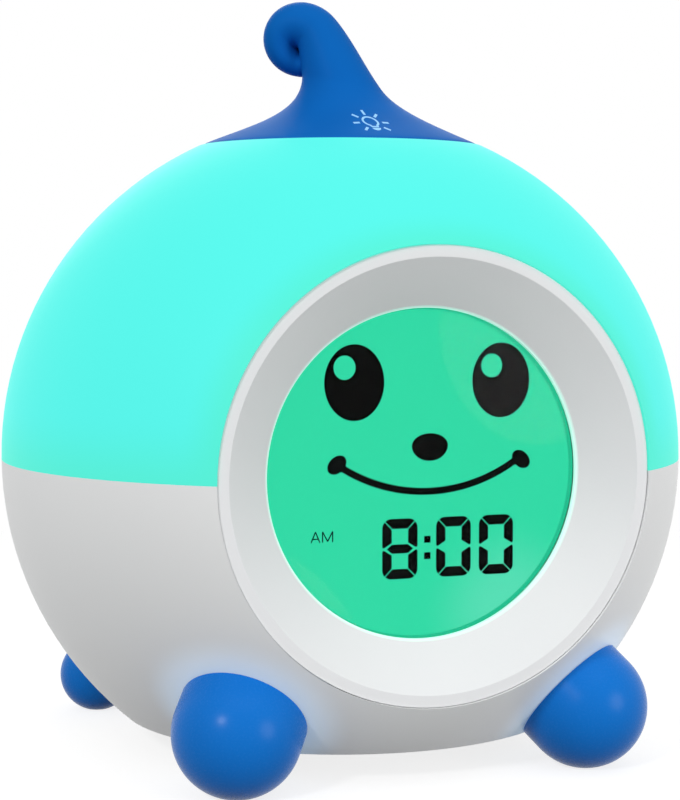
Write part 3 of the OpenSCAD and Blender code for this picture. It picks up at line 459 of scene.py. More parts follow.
def rounded(corners, steps=8):
    """A closed outline from (across, along, fillet) corners, with each fillet as an arc."""
    outline = []
    for i, (across, along, fillet) in enumerate(corners):
        here = Vector((across, along))
        if not fillet:
            outline.append(here)
            continue
        before = (Vector(corners[i - 1][:2]) - here).normalized()
        after = (Vector(corners[(i + 1) % len(corners)][:2]) - here).normalized()
        half = before.angle(after) / 2
        centre = here + (before + after).normalized() * fillet / math.sin(half)
        start = here + before * fillet / math.tan(half) - centre
        turn = start.angle_signed(here + after * fillet / math.tan(half) - centre)
        outline += [
            centre + Matrix.Rotation(-turn * k / steps, 2) @ start for k in range(steps + 1)]
    return outline


def revolve(bm, outline, place, sides=160, closed=True):
    """Turns an outline of (radius, height) points about Z, then puts it in place."""
    angles = [2 * math.pi * k / sides for k in range(sides)]
    rings = [
        [bm.verts.new(place @ Vector((r * math.cos(a), r * math.sin(a), h))) for a in angles]
        for r, h in outline
    ]
    pairs = zip(rings, rings[1:] + rings[:1]) if closed else zip(rings, rings[1:])
    for low, high in pairs:
        for k in range(sides):
            bm.faces.new((low[k], low[(k + 1) % sides], high[(k + 1) % sides], high[k]))


def smooth_copy(node, body, slot, ball=False):
    """A merged copy of a solid that is shaded smooth, while its flats stay flat. On the ball's
    wall each normal is set to point straight from the ball's middle, so that no facet shows."""
    bm = bmesh.new()
    bm.from_mesh(frame["nodes"][node].data)
    bmesh.ops.remove_doubles(bm, verts=bm.verts, dist=MERGE)
    flats = bpy.data.meshes.new(node + "_form")
    bm.to_mesh(flats)
    bm.free()
    shade(flats, sharp=30)
    form = in_scene(node + "_form", flats)
    form.modifiers.new("flat_faces", "WEIGHTED_NORMAL").keep_sharp = True
    mesh = plain_mesh(form)
    bpy.data.objects.remove(form)
    if ball:
        on_wall = 0.03 * MM
        normals = [Vector(n.vector) for n in mesh.corner_normals]
        for face in mesh.polygons:
            spokes = [mesh.vertices[v].co - BALL for v in face.vertices]
            if all(abs(s.length - BALL_R) < on_wall for s in spokes):
                for loop, spoke in zip(face.loop_indices, spokes):
                    normals[loop] = spoke.normalized()
        mesh.normals_split_custom_set(normals)
    return piece_of(mesh, node + "_wall", FINISHES[slot], body, [node])


# ---------- the ball, bezel and window ----------

def ball_halves():
    """The white lower half and the glowing upper half."""
    smooth_copy("lower_housing", "clock", "white_housing", ball=True)
    smooth_copy("light_dome", "clock", "glowing_dome", ball=True)


def bezel_ring():
    """The dished ring: a flat band all but flush with the ball, a straight cone down to the
    window, and its inner wall."""
    wall, back_round, front_round, window_round = 2.2 * MM, 0.2 * MM, 0.25 * MM, 0.3 * MM
    band_y, inner_y = CREST_Y - 0.05 * MM, LENS_FRONT_Y - 0.05 * MM
    bm = bmesh.new()
    revolve(bm, rounded([
        (BEZEL_R, LENS_BACK_Y, back_round),
        (BEZEL_R, band_y, front_round),
        (CREST_R, CREST_Y, front_round),
        (WINDOW_R, WINDOW_Y, window_round),
        (WINDOW_R, inner_y, 0),
        (WINDOW_R + wall, inner_y, 0),
        (BEZEL_R - wall, CREST_Y + 2 * wall, 0),
        (BEZEL_R - wall, LENS_BACK_Y, 0),
    ]), AT_BALL @ ABOUT_Y, sides=256)
    mesh = closed_mesh(bm, "dished_bezel")
    return piece_of(
        mesh, "dished_bezel", FINISHES["white_bezel"], "clock", ["front_bezel"])


def window_disc():
    """The clear round window, with both its edges rounded."""
    edge_round = 0.15 * MM
    bm = bmesh.new()
    revolve(bm, rounded([
        (0, LENS_FRONT_Y, 0),
        (LENS_R, LENS_FRONT_Y, edge_round),
        (LENS_R, LENS_BACK_Y, edge_round),
        (0, LENS_BACK_Y, 0),
    ], steps=3), AT_BALL @ ABOUT_Y, sides=192, closed=False)
    mesh = closed_mesh(bm, "window_disc")
    return piece_of(
        mesh, "window_disc", FINISHES["clear_window"], "clock", ["display_lens"])


def window_border():
    """A dark ring on the back of the window, which hides the display's edge and carries the painted
    shadow of the bezel's edge.
    """
    inner, outer = WINDOW_R - 0.3 * MM, LENS_R - 0.2 * MM
    near, far = LENS_BACK_Y + 0.01 * MM, LENS_BACK_Y + 0.05 * MM
    bm = bmesh.new()
    revolve(bm, [Vector(p) for p in ((inner, near), (outer, near), (outer, far), (inner, far))],
            AT_BALL @ ABOUT_Y, sides=192)
    mesh = closed_mesh(bm, "window_border")
    return piece_of(mesh, "window_border", PAINTED_BORDER_SHADOW, "clock")


# ---------- what the display shows ----------

# How far the segments' fronts and backs lie before the display, and how many millimetres the
# face's middle lies to the right of the display's. The outlines are in millimetres too
SEGMENT_RISE = 0.06 * MM
SEGMENT_BACK = 0.005 * MM
FACE_X = 1.7


def plate(bm, outline, hole=None):
    """A thin raised plate on the display from an outline, round an open hole if there is one."""
    def ring(points, rise):
        return [bm.verts.new((x * MM, DISPLAY_Y - rise, SEAM_Z + z * MM)) for x, z in points]

    tops, backs = ring(outline, SEGMENT_RISE), ring(outline, SEGMENT_BACK)
    count = len(outline)
    edges = [(tops, backs)]
    if hole:
        hole_tops, hole_backs = ring(hole, SEGMENT_RISE), ring(hole, SEGMENT_BACK)
        edges.append((hole_tops, hole_backs))
        edges += [(tops, hole_tops), (backs, hole_backs)]
    else:
        bm.faces.new(tops)
        bm.faces.new(backs)
    for one, other in edges:
        for k in range(count):
            n = (k + 1) % count
            bm.faces.new((one[k], one[n], other[n], other[k]))


def oval(x, z, rx, rz, tilt=0, steps=56):
    """The outline of an oval, tilted by an angle in degrees."""
    turn = Matrix.Rotation(math.radians(tilt), 2)
    angles = [2 * math.pi * k / steps for k in range(steps)]
    return [Vector((x, z)) + turn @ Vector((rx * math.cos(a), rz * math.sin(a))) for a in angles]


def stroke(points, width):
    """The outline of a line of one width with square ends."""
    left, right = [], []
    for i, point in enumerate(points):
        along = (points[min(i + 1, len(points) - 1)] - points[max(i - 1, 0)]).normalized()
        side = Vector((-along.y, along.x)) * width / 2
        left.append(point + side)
        right.append(point - side)
    return left + right[::-1]


def friendly_face(bm):
    """Two oval eyes with a round glint, a small nose and a wide smile."""
    eye_apart, eye_z, eye_size = 13.8, 16, (5.5, 6.62)
    glint_left, glint_z, glint_size = 1.8, 18.6, (2.02, 2.1)
    for side in (-1, 1):
        x = FACE_X + side * eye_apart
        plate(bm, oval(x, eye_z, *eye_size), hole=oval(x - glint_left, glint_z, *glint_size))

    nose_x, nose_z, nose_side, nose_up, nose_down = FACE_X + 0.3, 4.75, 3.4, 2.15, 2.7
    around_nose = [2 * math.pi * k / 40 for k in range(40)]
    plate(bm, [
        (nose_x + nose_side * math.cos(a),
         nose_z + (nose_up if math.sin(a) > 0 else nose_down) * math.sin(a))
        for a in around_nose])

    smile_r, smile_low, half_angle, smile_line = 30.5, -3.3, 35, 1.22
    arc = [math.radians(-90 + half_angle * k / 16) for k in range(-16, 17)]
    plate(bm, stroke([
        Vector((FACE_X + smile_r * math.cos(a), smile_low + smile_r + smile_r * math.sin(a)))
        for a in arc], smile_line))
    cheek_x, cheek_z, cheek_apart = FACE_X + 0.4, 1.85, 17.4
    cheek_size, cheek_tilt = (1.95, 1.4), 40
    for side in (-1, 1):
        plate(bm, oval(cheek_x + side * cheek_apart, cheek_z, *cheek_size,
                       tilt=-side * cheek_tilt, steps=32))


def seven_segments(bm, x, z, shown):
    """One digit 6.6 mm wide and 10.6 mm high. Its corners are rounded and its bars are mitred."""
    half_w, half_h, bar, corner, gap = 3.3, 5.31, 1.75, 1.5, 0.13
    inner_end, point_end, outer_end, point_in = gap + 0.95, gap + 0.05, gap + 0.3, 0.25
    tip, slope, half_bar = half_w - 0.85, half_w - bar - 0.05, 0.79
    corner_x, corner_z = half_w - corner, half_h - corner
    arc = [math.radians(45 + 45 * k / 5) for k in range(6)]
    rim = [Vector((corner_x + corner * math.cos(a), corner_z + corner * math.sin(a))) for a in arc]
    side_rim = [
        Vector((corner_x + corner * math.sin(a), corner_z + corner * math.cos(a))) for a in arc]
    top = [Vector((half_w - bar - gap, half_h - bar))] + [p - Vector((gap, 0)) for p in rim]
    top += [Vector((-p.x, p.y)) for p in reversed(top)]
    upper_right = [
        Vector((half_w - bar, half_h - bar - gap)), Vector((half_w - bar, inner_end)),
        Vector((half_w - point_in, point_end)), Vector((half_w, outer_end))]
    upper_right += [p - Vector((0, gap)) for p in reversed(side_rim)]
    bars = {
        "top": top,
        "bottom": [Vector((p.x, -p.y)) for p in top],
        "upper_right": upper_right,
        "upper_left": [Vector((-p.x, p.y)) for p in upper_right],
        "lower_right": [Vector((p.x, -p.y)) for p in upper_right],
        "lower_left": [-p for p in upper_right],
        "middle": [Vector(p) for p in (
            (-tip, 0), (-slope, half_bar), (slope, half_bar),
            (tip, 0), (slope, -half_bar), (-slope, -half_bar))],
    }
    for name, outline in bars.items():
        if name in shown:
            plate(bm, [p + Vector((x, z)) for p in outline])


def clock_time(bm):
    """8:00 with the two letters that tell morning from afternoon."""
    digit_z, eight_x, zero_places = -13.25, -3.6, (6.55, 14.75)
    zero = ["top", "bottom", "upper_right", "upper_left", "lower_right", "lower_left"]
    seven_segments(bm, eight_x, digit_z, [*zero, "middle"])
    for x in zero_places:
        seven_segments(bm, x, digit_z, zero)
    colon_x, colon_z, dot_rise, half_dot = 1.57, digit_z + 0.02, 1.45, 0.6
    for rise in (-dot_rise, dot_rise):
        plate(bm, [(colon_x + dx * half_dot, colon_z + rise + dz * half_dot) for dx, dz in SQUARE])

    low, high, line = -11.48, -9.62, 0.2
    a_left, a_top, a_right = -20.02, -19.22, -18.42
    bar_left, bar_right, bar_z = -19.76, -18.68, low + 0.62
    m_left, m_dip, m_right, dip_z = -17.92, -17.0, -16.08, low + 0.15
    letters = [
        [(a_left, low), (a_top, high), (a_right, low)],
        [(bar_left, bar_z), (bar_right, bar_z)],
        [(m_left, low), (m_left, high), (m_dip, dip_z), (m_right, high), (m_right, low)],
    ]
    for points in letters:
        for start, end in zip(points, points[1:]):
            plate(bm, stroke([Vector(start), Vector(end)], line))


def display_image():
    """The dark segments: the face above and the time below."""
    for name, draw in (("display_face", friendly_face), ("display_time", clock_time)):
        bm = bmesh.new()
        draw(bm)
        piece_of(closed_mesh(bm, name), name, DISPLAY_BLACK, "clock")


# ---------- the curled key ----------

# The round head of the curl, in millimetres across from the ball's axis and up from the key's edge,
# and the way that the curl leans, seen from above
HEAD, HEAD_R = (-7.9, 20.5), 7.1
CURL_TURN = math.radians(145)


def bezier(p, t):
    """A point on the curve that four control points give."""
    a, b, c, d = (Vector(q) for q in p)
    return a * (1 - t) ** 3 + b * 3 * t * (1 - t) ** 2 + c * 3 * t * t * (1 - t) + d * t ** 3


def around(centre, radius, degrees):
    """A point on a circle."""
    angle = math.radians(degrees)
    return Vector(centre) + radius * Vector((math.cos(angle), math.sin(angle)))


def curl_rings():
    """Inner point, outer point and half thickness of each ring, in millimetres from the ball's axis
    and the key's edge: up the flared skirt, up the stem, round the bend and down into the crease,
    where the tip rolls in against the stem."""
    radius = KEY_R / MM
    skirt_back = [(radius, 0), (radius - 8.5, 3.6), (10.4, 6.9), (7.7, 11.1)]
    skirt_front = [(-radius, 0), (-radius + 8.5, 3.6), (-7.4, 5.5), (-7.2, 12.9)]
    crease, crease_r, crease_turn = Vector((HEAD[0] - 0.3, HEAD[1] - 2.1)), 0.3, 110
    shoulder_r, lean, bend_end, curl_end = HEAD_R + 0.75, 31.5, 140, 268
    shoulder = around(HEAD, shoulder_r, lean)
    stem_back = [skirt_back[3], (4.9, 14.9), shoulder + Vector((3.6, -4.3)), shoulder]
    neck_thick, bend_thick, tip_thick = 5.9, 6.4, 3.4
    tip_in, tip_out, tip_round = crease + Vector((0.6, -0.8)), around(HEAD, HEAD_R, curl_end), 2.6

    rings = []
    for k in range(11):
        front, back = bezier(skirt_front, k / 10), bezier(skirt_back, k / 10)
        rings.append((front, back, back.x))
    stem_foot, foot_thick = rings[-1][0], rings[-1][2]
    for k in range(1, 6):
        t = k / 5
        rings.append((stem_foot.lerp(around(crease, crease_r, 0), t), bezier(stem_back, t),
                      foot_thick * (1 - t) + neck_thick * t))
    for k in range(1, 9):
        t = k / 8
        outer_r = HEAD_R + (shoulder_r - HEAD_R) * (1 - t) ** 4
        rings.append((around(crease, crease_r, crease_turn * t),
                      around(HEAD, outer_r, lean + (bend_end - lean) * t),
                      neck_thick + (bend_thick - neck_thick) * math.sin(math.pi / 2 * t)))
    for k in range(1, 8):
        t = k / 7
        rings.append((around(crease, crease_r, crease_turn).lerp(tip_in, t),
                      around(HEAD, HEAD_R, bend_end + (curl_end - bend_end) * t),
                      bend_thick + (tip_thick - bend_thick) * t * t))
    across = (tip_in - tip_out) / 2
    inwards = Vector((across.y, -across.x)).normalized() * tip_round
    for degrees in (15, 30, 45, 60, 75):
        angle = math.radians(degrees)
        centre = (tip_in + tip_out) / 2 + inwards * math.sin(angle)
        rings.append((centre + across * math.cos(angle), centre - across * math.cos(angle),
                      tip_thick * math.cos(angle)))
    return rings


def key_ring(inner, outer, half_thick, drop=0.0, sides=32):
    """One ring of the key, turned the way that the curl leans and put in its place."""
    centre, reach = (inner + outer) / 2, (outer - inner) / 2
    ring = []
    for k in range(sides):
        angle = 2 * math.pi * k / sides
        across, rise = centre + reach * math.cos(angle)
        side = half_thick * math.sin(angle)
        ring.append(Vector((
            side * math.sin(CURL_TURN) - across * math.cos(CURL_TURN),
            -side * math.cos(CURL_TURN) - across * math.sin(CURL_TURN),
            rise - drop)) * MM + Vector((0, 0, KEY_EDGE_Z)))
    return ring


def skin(loops):
    """A closed skin over rings of equal length, with a fan over each end."""
    bm = bmesh.new()
    rings = [[bm.verts.new(p) for p in loop] for loop in loops]
    sides = len(rings[0])
    for low, high in zip(rings, rings[1:]):
        for k in range(sides):
            bm.faces.new((low[k], low[(k + 1) % sides], high[(k + 1) % sides], high[k]))
    for ring in (rings[0], rings[-1]):
        pole = bm.verts.new(sum((v.co for v in ring), Vector()) / sides)
        for k in range(sides):
            bm.faces.new((ring[k], ring[(k + 1) % sides], pole))
    return bm, rings


def curl_key():
    """One skin over the rings, finished by subdivision. The tip runs into the stem, and the
    union of the two leaves the crease that the eye sees."""
    rings = curl_rings()
    front, back, half = rings[0]
    rim = KEY_RIM / MM
    loops = [key_ring(front, back, half, rim), key_ring(front, back, half, rim * 0.5)]
    loops += [key_ring(*ring) for ring in rings]
    bm, made = skin(loops)
    crease, rim_crease = bm.edges.layers.float.new("crease_edge"), 0.8
    for k in range(len(made[0])):
        bm.edges.get((made[0][k], made[0][k - 1]))[crease] = rim_crease
    shell = in_scene("curl_key_form", closed_mesh(bm, "curl_key_form", sharp=180))
    # The union needs a second form, so a small core lies unseen inside the key
    core_bm = bmesh.new()
    bmesh.ops.create_icosphere(core_bm, subdivisions=1, radius=1 * MM,
                               matrix=Matrix.Translation((0, 0, KEY_EDGE_Z + 4 * MM)))
    core = in_scene("curl_key_core", closed_mesh(core_bm, "curl_key_core"))
    smooth = shell.modifiers.new("smooth", "SUBSURF")
    smooth.levels = smooth.render_levels = 2
    join = shell.modifiers.new("join", "BOOLEAN")
    join.operation, join.object, join.solver, join.use_self = "UNION", core, "EXACT", True
    mesh = plain_mesh(shell)
    for form in (shell, core):
        bpy.data.objects.remove(form)
    shade(mesh, sharp=40)
    return piece_of(
        mesh, "curl_key_shell", FINISHES["blue_key"], "curl_key", ["curl_cap"])


# ---------- geometry trees ----------

def geometry_tree(name, sizes):
    """An empty tree with named inputs. Returns it, its inputs' sockets and its end."""
    tree = bpy.data.node_groups.new(name, "GeometryNodeTree")
    for size, kind in sizes.items():
        tree.interface.new_socket(size, in_out="INPUT", socket_type="NodeSocket" + kind)
    tree.interface.new_socket("Geometry", in_out="OUTPUT", socket_type="NodeSocketGeometry")
    return tree, add(tree, "NodeGroupInput").outputs, add(tree, "NodeGroupOutput")


def close_tree(tree, end, instances, material):
    """Makes a tree's instances real, gives them their material and leads them to the end."""
    real = add(tree, "GeometryNodeRealizeInstances", links={"Geometry": instances})
    painted = add(tree, "GeometryNodeSetMaterial", {"Material": material},
                  {"Geometry": real.outputs[0]})
    tree.links.new(painted.outputs[0], end.inputs[0])


def grow(tree, name, sizes):
    """Runs a tree with its sizes and returns the result as a plain mesh."""
    carrier = in_scene(name, bpy.data.meshes.new(name))
    modifier = carrier.modifiers.new(name, "NODES")
    modifier.node_group = tree
    for item in tree.interface.items_tree:
        if item.in_out == "INPUT":
            modifier[item.identifier] = sizes[item.name]
    mesh = plain_mesh(carrier)
    bpy.data.objects.remove(carrier)
    return mesh


def rays_tree():
    """Short bars that point outwards from an arc which is open below."""
    tree, size, end = geometry_tree("rays", {
        "Count": "Int", "Ring radius": "Float", "Length": "Float", "Width": "Float"})
    arc = add(tree, "GeometryNodeCurveArc", {
        "mode": "RADIUS", "Resolution": 64,
        "Start Angle": math.radians(-45), "Sweep Angle": math.radians(270),
    }, {"Radius": size["Ring radius"]})
    points = add(tree, "GeometryNodeCurveToPoints", {"mode": "COUNT"},
                 {"Curve": arc.outputs["Curve"], "Count": size["Count"]})
    bar = add(tree, "GeometryNodeMeshGrid", {"Vertices X": 6, "Vertices Y": 2},
              {"Size X": size["Length"], "Size Y": size["Width"]})
    position = add(tree, "GeometryNodeInputPosition")
    outwards = add(tree, "FunctionNodeAlignRotationToVector", {"axis": "X"},
                   {"Vector": position.outputs[0]})
    bars = add(tree, "GeometryNodeInstanceOnPoints", links={
        "Points": points.outputs["Points"], "Instance": bar.outputs["Mesh"],
        "Rotation": outwards.outputs["Rotation"]})
    close_tree(tree, end, bars.outputs["Instances"], PAD_PRINT)
    return tree


def screws_tree():
    """Copies of one screw, evenly round a circle, with their heads up."""
    tree, size, end = geometry_tree("screws", {
        "Screw": "Object", "Count": "Int", "Circle radius": "Float", "First angle": "Float"})
    step = add(tree, "ShaderNodeMath", {"operation": "DIVIDE", 0: 2 * math.pi}, {1: size["Count"]})
    index = add(tree, "GeometryNodeInputIndex")
    angle = add(tree, "ShaderNodeMath", {"operation": "MULTIPLY_ADD"}, {
        0: index.outputs[0], 1: step.outputs[0], 2: size["First angle"]})
    reach = add(tree, "ShaderNodeCombineXYZ", links={"X": size["Circle radius"]})
    place = add(tree, "ShaderNodeVectorRotate", {"rotation_type": "Z_AXIS"},
                {"Vector": reach.outputs[0], "Angle": angle.outputs[0]})
    circle = add(tree, "GeometryNodePoints", links={
        "Count": size["Count"], "Position": place.outputs[0]})
    screw = add(tree, "GeometryNodeObjectInfo", links={"Object": size["Screw"]})
    copies = add(tree, "GeometryNodeInstanceOnPoints", links={
        "Points": circle.outputs[0], "Instance": screw.outputs["Geometry"]})
    close_tree(tree, end, copies.outputs["Instances"], FINISHES["screw_steel"])
    return tree


# ---------- light mark on the key ----------

def light_mark(key):
    """A bulb with seven rays, printed on the front of the key's skirt and stretched up it, so that
    it looks round from the front."""
    mark_x, mark_r, mark_rise = -0.95 * MM, 19.3 * MM, 2.8 * MM
    slope, stretch = math.radians(24), 1.7
    ink, clear_of_key = 0.05 * MM, 15
    key_skin = BVHTree.FromPolygons(
        [v.co for v in key.data.vertices], [p.vertices for p in key.data.polygons])
    over, up_slope = Vector((1, 0, 0)), Vector((0, math.cos(slope), math.sin(slope)))
    outwards = over.cross(up_slope)
    origin = Vector((mark_x, -mark_r, KEY_EDGE_Z + mark_rise))

    def on_key(point, lift):
        above = origin + over * point.x + up_slope * stretch * point.y
        hit, normal = key_skin.ray_cast(above + outwards * clear_of_key * MM, -outwards)[:2]
        return hit + normal * lift

    bm = bmesh.new()
    bm.from_mesh(grow(rays_tree(), "rays", {
        "Count": 7, "Ring radius": 2.8 * MM, "Length": 1.2 * MM, "Width": 0.44 * MM}))
    line, neck, neck_y, glass_r, glass_y = 0.36 * MM, 0.55 * MM, -1.35 * MM, 1.32 * MM, 0.25 * MM
    cap_r, cap_y, cap_top_y = 0.8 * MM, -1.7 * MM, -1.78 * MM
    glass = [around((0, glass_y), glass_r, -60 + 300 * k / 32) for k in range(33)]
    bulb = [Vector((neck, neck_y)), *glass, Vector((-neck, neck_y))]
    neck_line = [Vector((x * MM, neck_y)) for x in (-0.65, -0.3, 0, 0.3, 0.65)]
    cap = [around((0, 0), cap_r, -170 + 160 * k / 16) + Vector((0, cap_y)) for k in range(17)]
    cap_top = [Vector((p.x, cap_top_y)) for p in cap]
    for outline in (stroke(bulb, line), stroke(neck_line, line), cap_top + cap[::-1]):
        count = len(outline) // 2
        verts = [bm.verts.new((*p, 0)) for p in outline]
        for k in range(count - 1):
            bm.faces.new((verts[k], verts[k + 1], verts[-k - 2], verts[-k - 1]))
    tops = {v: v.co.xy for v in bm.verts}
    faces = list(bm.faces)
    backs = {v: bm.verts.new(on_key(p, -ink)) for v, p in tops.items()}
    rims = [e for e in bm.edges if len(e.link_faces) == 1]
    for face in faces:
        bm.faces.new([backs[v] for v in face.verts])
    for edge in rims:
        one, other = edge.verts
        bm.faces.new((one, other, backs[other], backs[one]))
    for vert, point in tops.items():
        vert.co = on_key(point, ink)
    mesh = closed_mesh(bm, "light_mark", sharp=60)
    return piece_of(mesh, "light_mark", PAD_PRINT, "curl_key")


# ---------- feet ----------

def foot(node):
    """A ball with a short round shank that meets the clock's wall, flat where it stands."""
    radius, ball = foot_ball(node)
    along = ball - BALL
    wall_r, seat_steps, cap_steps = BALL_R + 0.1 * MM, 12, 40
    seat_angle = math.asin(radius / wall_r)
    seat = [(wall_r * math.sin(a), wall_r * math.cos(a))
            for a in (seat_angle * k / seat_steps for k in range(seat_steps + 1))]
    cap = [(radius * math.cos(a), along.length + radius * math.sin(a))
           for a in (math.pi / 2 * k / cap_steps for k in range(cap_steps + 1))]
    bm = bmesh.new()
    revolve(bm, seat + cap, AT_BALL @ along.to_track_quat("Z", "Y").to_matrix().to_4x4(),
            sides=128, closed=False)
    for vert in bm.verts:
        vert.co.z = max(vert.co.z, 0)
    mesh = closed_mesh(bm, node + "_ball", sharp=40)
    return piece_of(mesh, node + "_ball", FINISHES["blue_foot"], "clock", [node])


# ---------- back and underside ----------

def cross_head_screw():
    """The template of a pan-head screw with a tapered cross in its head, which faces up."""
    shank_r, shank_l, edge_round, top_round = 1.25 * MM, 2 * MM, 0.1 * MM, 0.7 * MM
    cross, wide, deep, foot_scale, mouth_scale = 2.7 * MM, 0.75 * MM, 0.95 * MM, 0.45, 1.25
    bm = bmesh.new()
    revolve(bm, rounded([
        (0, -shank_l, 0), (shank_r, -shank_l, 0), (shank_r, 0, 0),
        (SCREW_HEAD_R, 0, edge_round), (SCREW_HEAD_R, SCREW_HEAD_H, top_round),
        (0, SCREW_HEAD_H, 0),
    ]), Matrix.Identity(4), sides=48, closed=False)
    head = in_scene("screw_form", closed_mesh(bm, "screw_form"))
    bm = bmesh.new()
    for turn in (0, 90):
        spread = Matrix.Rotation(math.radians(turn), 3, "Z")
        rings = []
        for z, scale in ((SCREW_HEAD_H - deep, foot_scale), (SCREW_HEAD_H + deep, mouth_scale)):
            rings.append([bm.verts.new(spread @ Vector((sx * cross / 2 * scale, sy * wide / 2, z)))
                          for sx, sy in SQUARE])
        bm.faces.new(rings[0][::-1])
        bm.faces.new(rings[1])
        for k in range(4):
            n = (k + 1) % 4
            bm.faces.new((rings[0][k], rings[0][n], rings[1][n], rings[1][k]))
    tool_mesh = bpy.data.meshes.new("cross_form")
    bm.to_mesh(tool_mesh)
    bm.free()
    tool = in_scene("cross_form", tool_mesh)
    cut = head.modifiers.new("cross", "BOOLEAN")
    cut.operation, cut.object, cut.solver, cut.use_self = "DIFFERENCE", tool, "EXACT", True
    mesh = plain_mesh(head)
    for form in (head, tool):
        bpy.data.objects.remove(form)
    shade(mesh, sharp=35)
    return mesh


def screw_groups():
    """The four screws of the rear panel and the two of the battery door."""
    screw = in_scene("screw_form", cross_head_screw())
    tree = screws_tree()
    panel, door = middle("rear_panel_screws"), middle("battery_door_screws")
    panel_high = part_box("rear_panel_screws")[1]
    panel_seat = panel_high.y - SCREW_HEAD_H
    panel_reach = (panel_high.x - SCREW_HEAD_R) * math.sqrt(2)
    door_low, door_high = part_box("battery_door_screws")
    door_seat, door_reach = door_low.z + SCREW_HEAD_H, (door_high.y - door_low.y) / 2 - SCREW_HEAD_R
    groups = (
        ("rear_panel_screws", "clock", 4, panel_reach, math.radians(45),
         Matrix.Translation((0, panel_seat, panel.z)) @ ABOUT_Y),
        ("battery_door_screws", "battery_door", 2, door_reach, math.radians(90),
         Matrix.Translation((0, door.y, door_seat)) @ Matrix.Rotation(math.pi, 4, "X")),
    )
    for node, body, count, reach, first, place in groups:
        mesh = grow(tree, node, {
            "Screw": screw, "Count": count, "Circle radius": reach, "First angle": first})
        mesh.transform(place)
        piece_of(mesh, node + "_heads", FINISHES["screw_steel"], body, [node])
    bpy.data.objects.remove(screw)


def back_and_underside():
    """The rear panel with its inlet and six buttons, and the door of the battery bay."""
    smooth_copy("rear_panel", "clock", "white_panel")
    smooth_copy("usb_inlet", "clock", "inlet_steel")
    smooth_copy("battery_door", "battery_door", "white_housing")
    for name in ("set", "up", "sound", "alarm", "down", "volume"):
        smooth_copy(name + "_button", name + "_button", "white_button")


# ---------- room ----------

def camera():
    """The photograph's view: 19.7 degrees to the left of the display and 5.1 degrees above it."""
    azimuth, elevation, distance = math.radians(-19.74), math.radians(5.08), 383.5 * MM
    lens, shift_pixels, frame_pixels = 88.6, 53.3, 800
    level = math.cos(elevation)
    back = Vector((math.sin(azimuth) * level, -math.cos(azimuth) * level, math.sin(elevation)))
    eye = in_scene("camera", bpy.data.cameras.new("camera"))
    eye.data.lens = lens
    eye.data.shift_y = shift_pixels / frame_pixels
    eye.location = BALL + back * distance
    eye.rotation_mode = "QUATERNION"
    eye.rotation_quaternion = (-back).to_track_quat("-Z", "Y")
    bpy.context.scene.camera = eye


def softbox(name, place, size, watts):
    """A round lamp that faces the ball. The larger it is, the softer are its shadows."""
    lamp = bpy.data.lights.new(name, "AREA")
    lamp.shape, lamp.size, lamp.energy = "DISK", size, watts
    holder = in_scene(name, lamp)
    holder.location = place
    holder.rotation_mode = "QUATERNION"
    holder.rotation_quaternion = (BALL - Vector(place)).to_track_quat("-Z", "Y")


def seen_white(tree, shown, hidden):
    """A shader that the camera, a mirror or glass sees as shown, and that lights the rest as
    hidden does."""
    path = add(tree, "ShaderNodeLightPath")
    seen = path.outputs["Is Camera Ray"]
    for ray in ("Is Glossy Ray", "Is Transmission Ray"):
        seen = add(tree, "ShaderNodeMath", {"operation": "MAXIMUM"},
                   {0: seen, 1: path.outputs[ray]}).outputs[0]
    return add(tree, "ShaderNodeMixShader", links={0: seen, 1: hidden, 2: shown}).outputs[0]


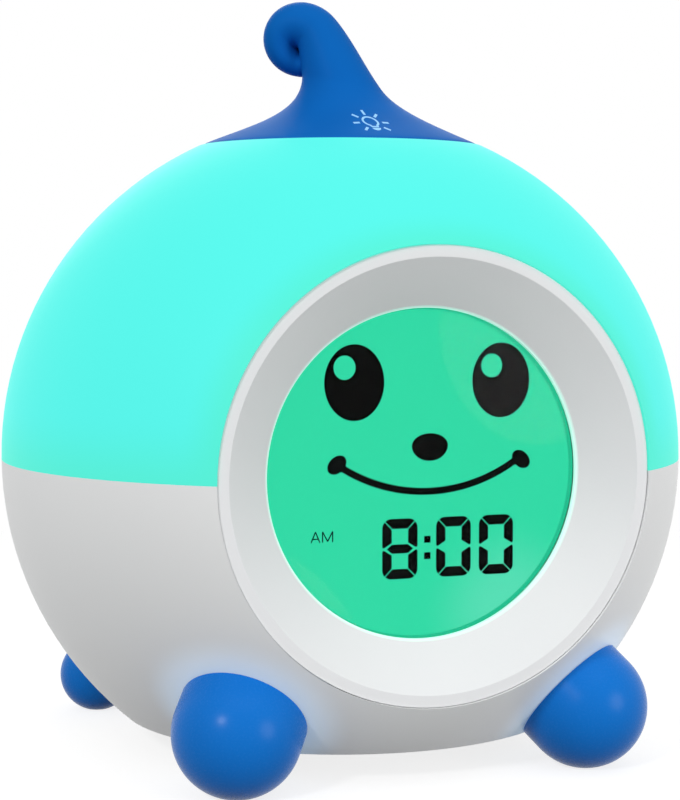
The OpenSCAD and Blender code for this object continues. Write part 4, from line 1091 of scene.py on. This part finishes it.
def room():
    """A plain white floor and white surroundings with soft light from all round. What is seen is
    paper white, and what lights the object is a plain grey, so that its colours stay as written."""
    pure_white, ambient_strength, paper_strength = (1, 1, 1, 1), 0.56, 0.8
    shadow_r, fade_r, half_floor = 1.5 * BALL_R, 5 * BALL_R, 3.0
    world = bpy.data.worlds.new("studio")
    world.use_nodes = True
    tree = world.node_tree
    tree.nodes.clear()
    white = add(tree, "ShaderNodeBackground", {"Color": pure_white, "Strength": 1.0})
    ambient = add(tree, "ShaderNodeBackground", {
        "Color": pure_white, "Strength": ambient_strength})
    add(tree, "ShaderNodeOutputWorld",
        links={"Surface": seen_white(tree, white.outputs[0], ambient.outputs[0])})
    bpy.context.scene.world = world

    paper = bpy.data.materials.new("white_paper")
    paper.use_nodes = True
    tree = paper.node_tree
    tree.nodes.clear()
    matt = add(tree, "ShaderNodeBsdfDiffuse", {"Color": linear("#939393")})
    shaded = add(tree, "ShaderNodeBsdfDiffuse", {"Color": linear("#969696")})
    lift = add(tree, "ShaderNodeEmission", {"Color": pure_white, "Strength": paper_strength})
    near = add(tree, "ShaderNodeAddShader", links={0: shaded.outputs[0], 1: lift.outputs[0]})
    far = add(tree, "ShaderNodeEmission", {"Color": pure_white, "Strength": 1.0})
    place = add(tree, "ShaderNodeTexCoord").outputs["Object"]
    reach = add(tree, "ShaderNodeVectorMath", {"operation": "LENGTH"}, {0: place})
    faded = add(tree, "ShaderNodeMapRange", {
        "interpolation_type": "SMOOTHSTEP", "From Min": shadow_r, "From Max": fade_r,
    }, {"Value": reach.outputs["Value"]})
    sheet = add(tree, "ShaderNodeMixShader",
                links={0: faded.outputs["Result"], 1: near.outputs[0], 2: far.outputs[0]})
    add(tree, "ShaderNodeOutputMaterial",
        links={"Surface": seen_white(tree, sheet.outputs[0], matt.outputs[0])})
    bm = bmesh.new()
    bm.faces.new([bm.verts.new((x * half_floor, y * half_floor, 0)) for x, y in SQUARE])
    mesh = bpy.data.meshes.new("floor")
    bm.to_mesh(mesh)
    bm.free()
    mesh.materials.append(paper)
    in_scene("floor", mesh)

    softbox("softbox_top", (0.05, -0.3, 0.95), size=1.0, watts=1.2)
    softbox("lamp_left", (-0.85, -0.78, 0.72), size=0.2, watts=6.0)
    softbox("softbox_front_right", (0.66, -0.9, 0.25), size=0.5, watts=3.6)
    softbox("softbox_back", (0.2, 1.1, 0.55), size=0.9, watts=3.0)


camera()
room()
ball_halves()
bezel_ring()
window_disc()
window_border()
display_image()
light_mark(curl_key())
for foot_node in ("front_foot_left", "front_foot_right", "rear_foot_left", "rear_foot_right"):
    foot(foot_node)
screw_groups()
back_and_underside()

bpy.context.scene.view_settings.view_transform = "Standard"
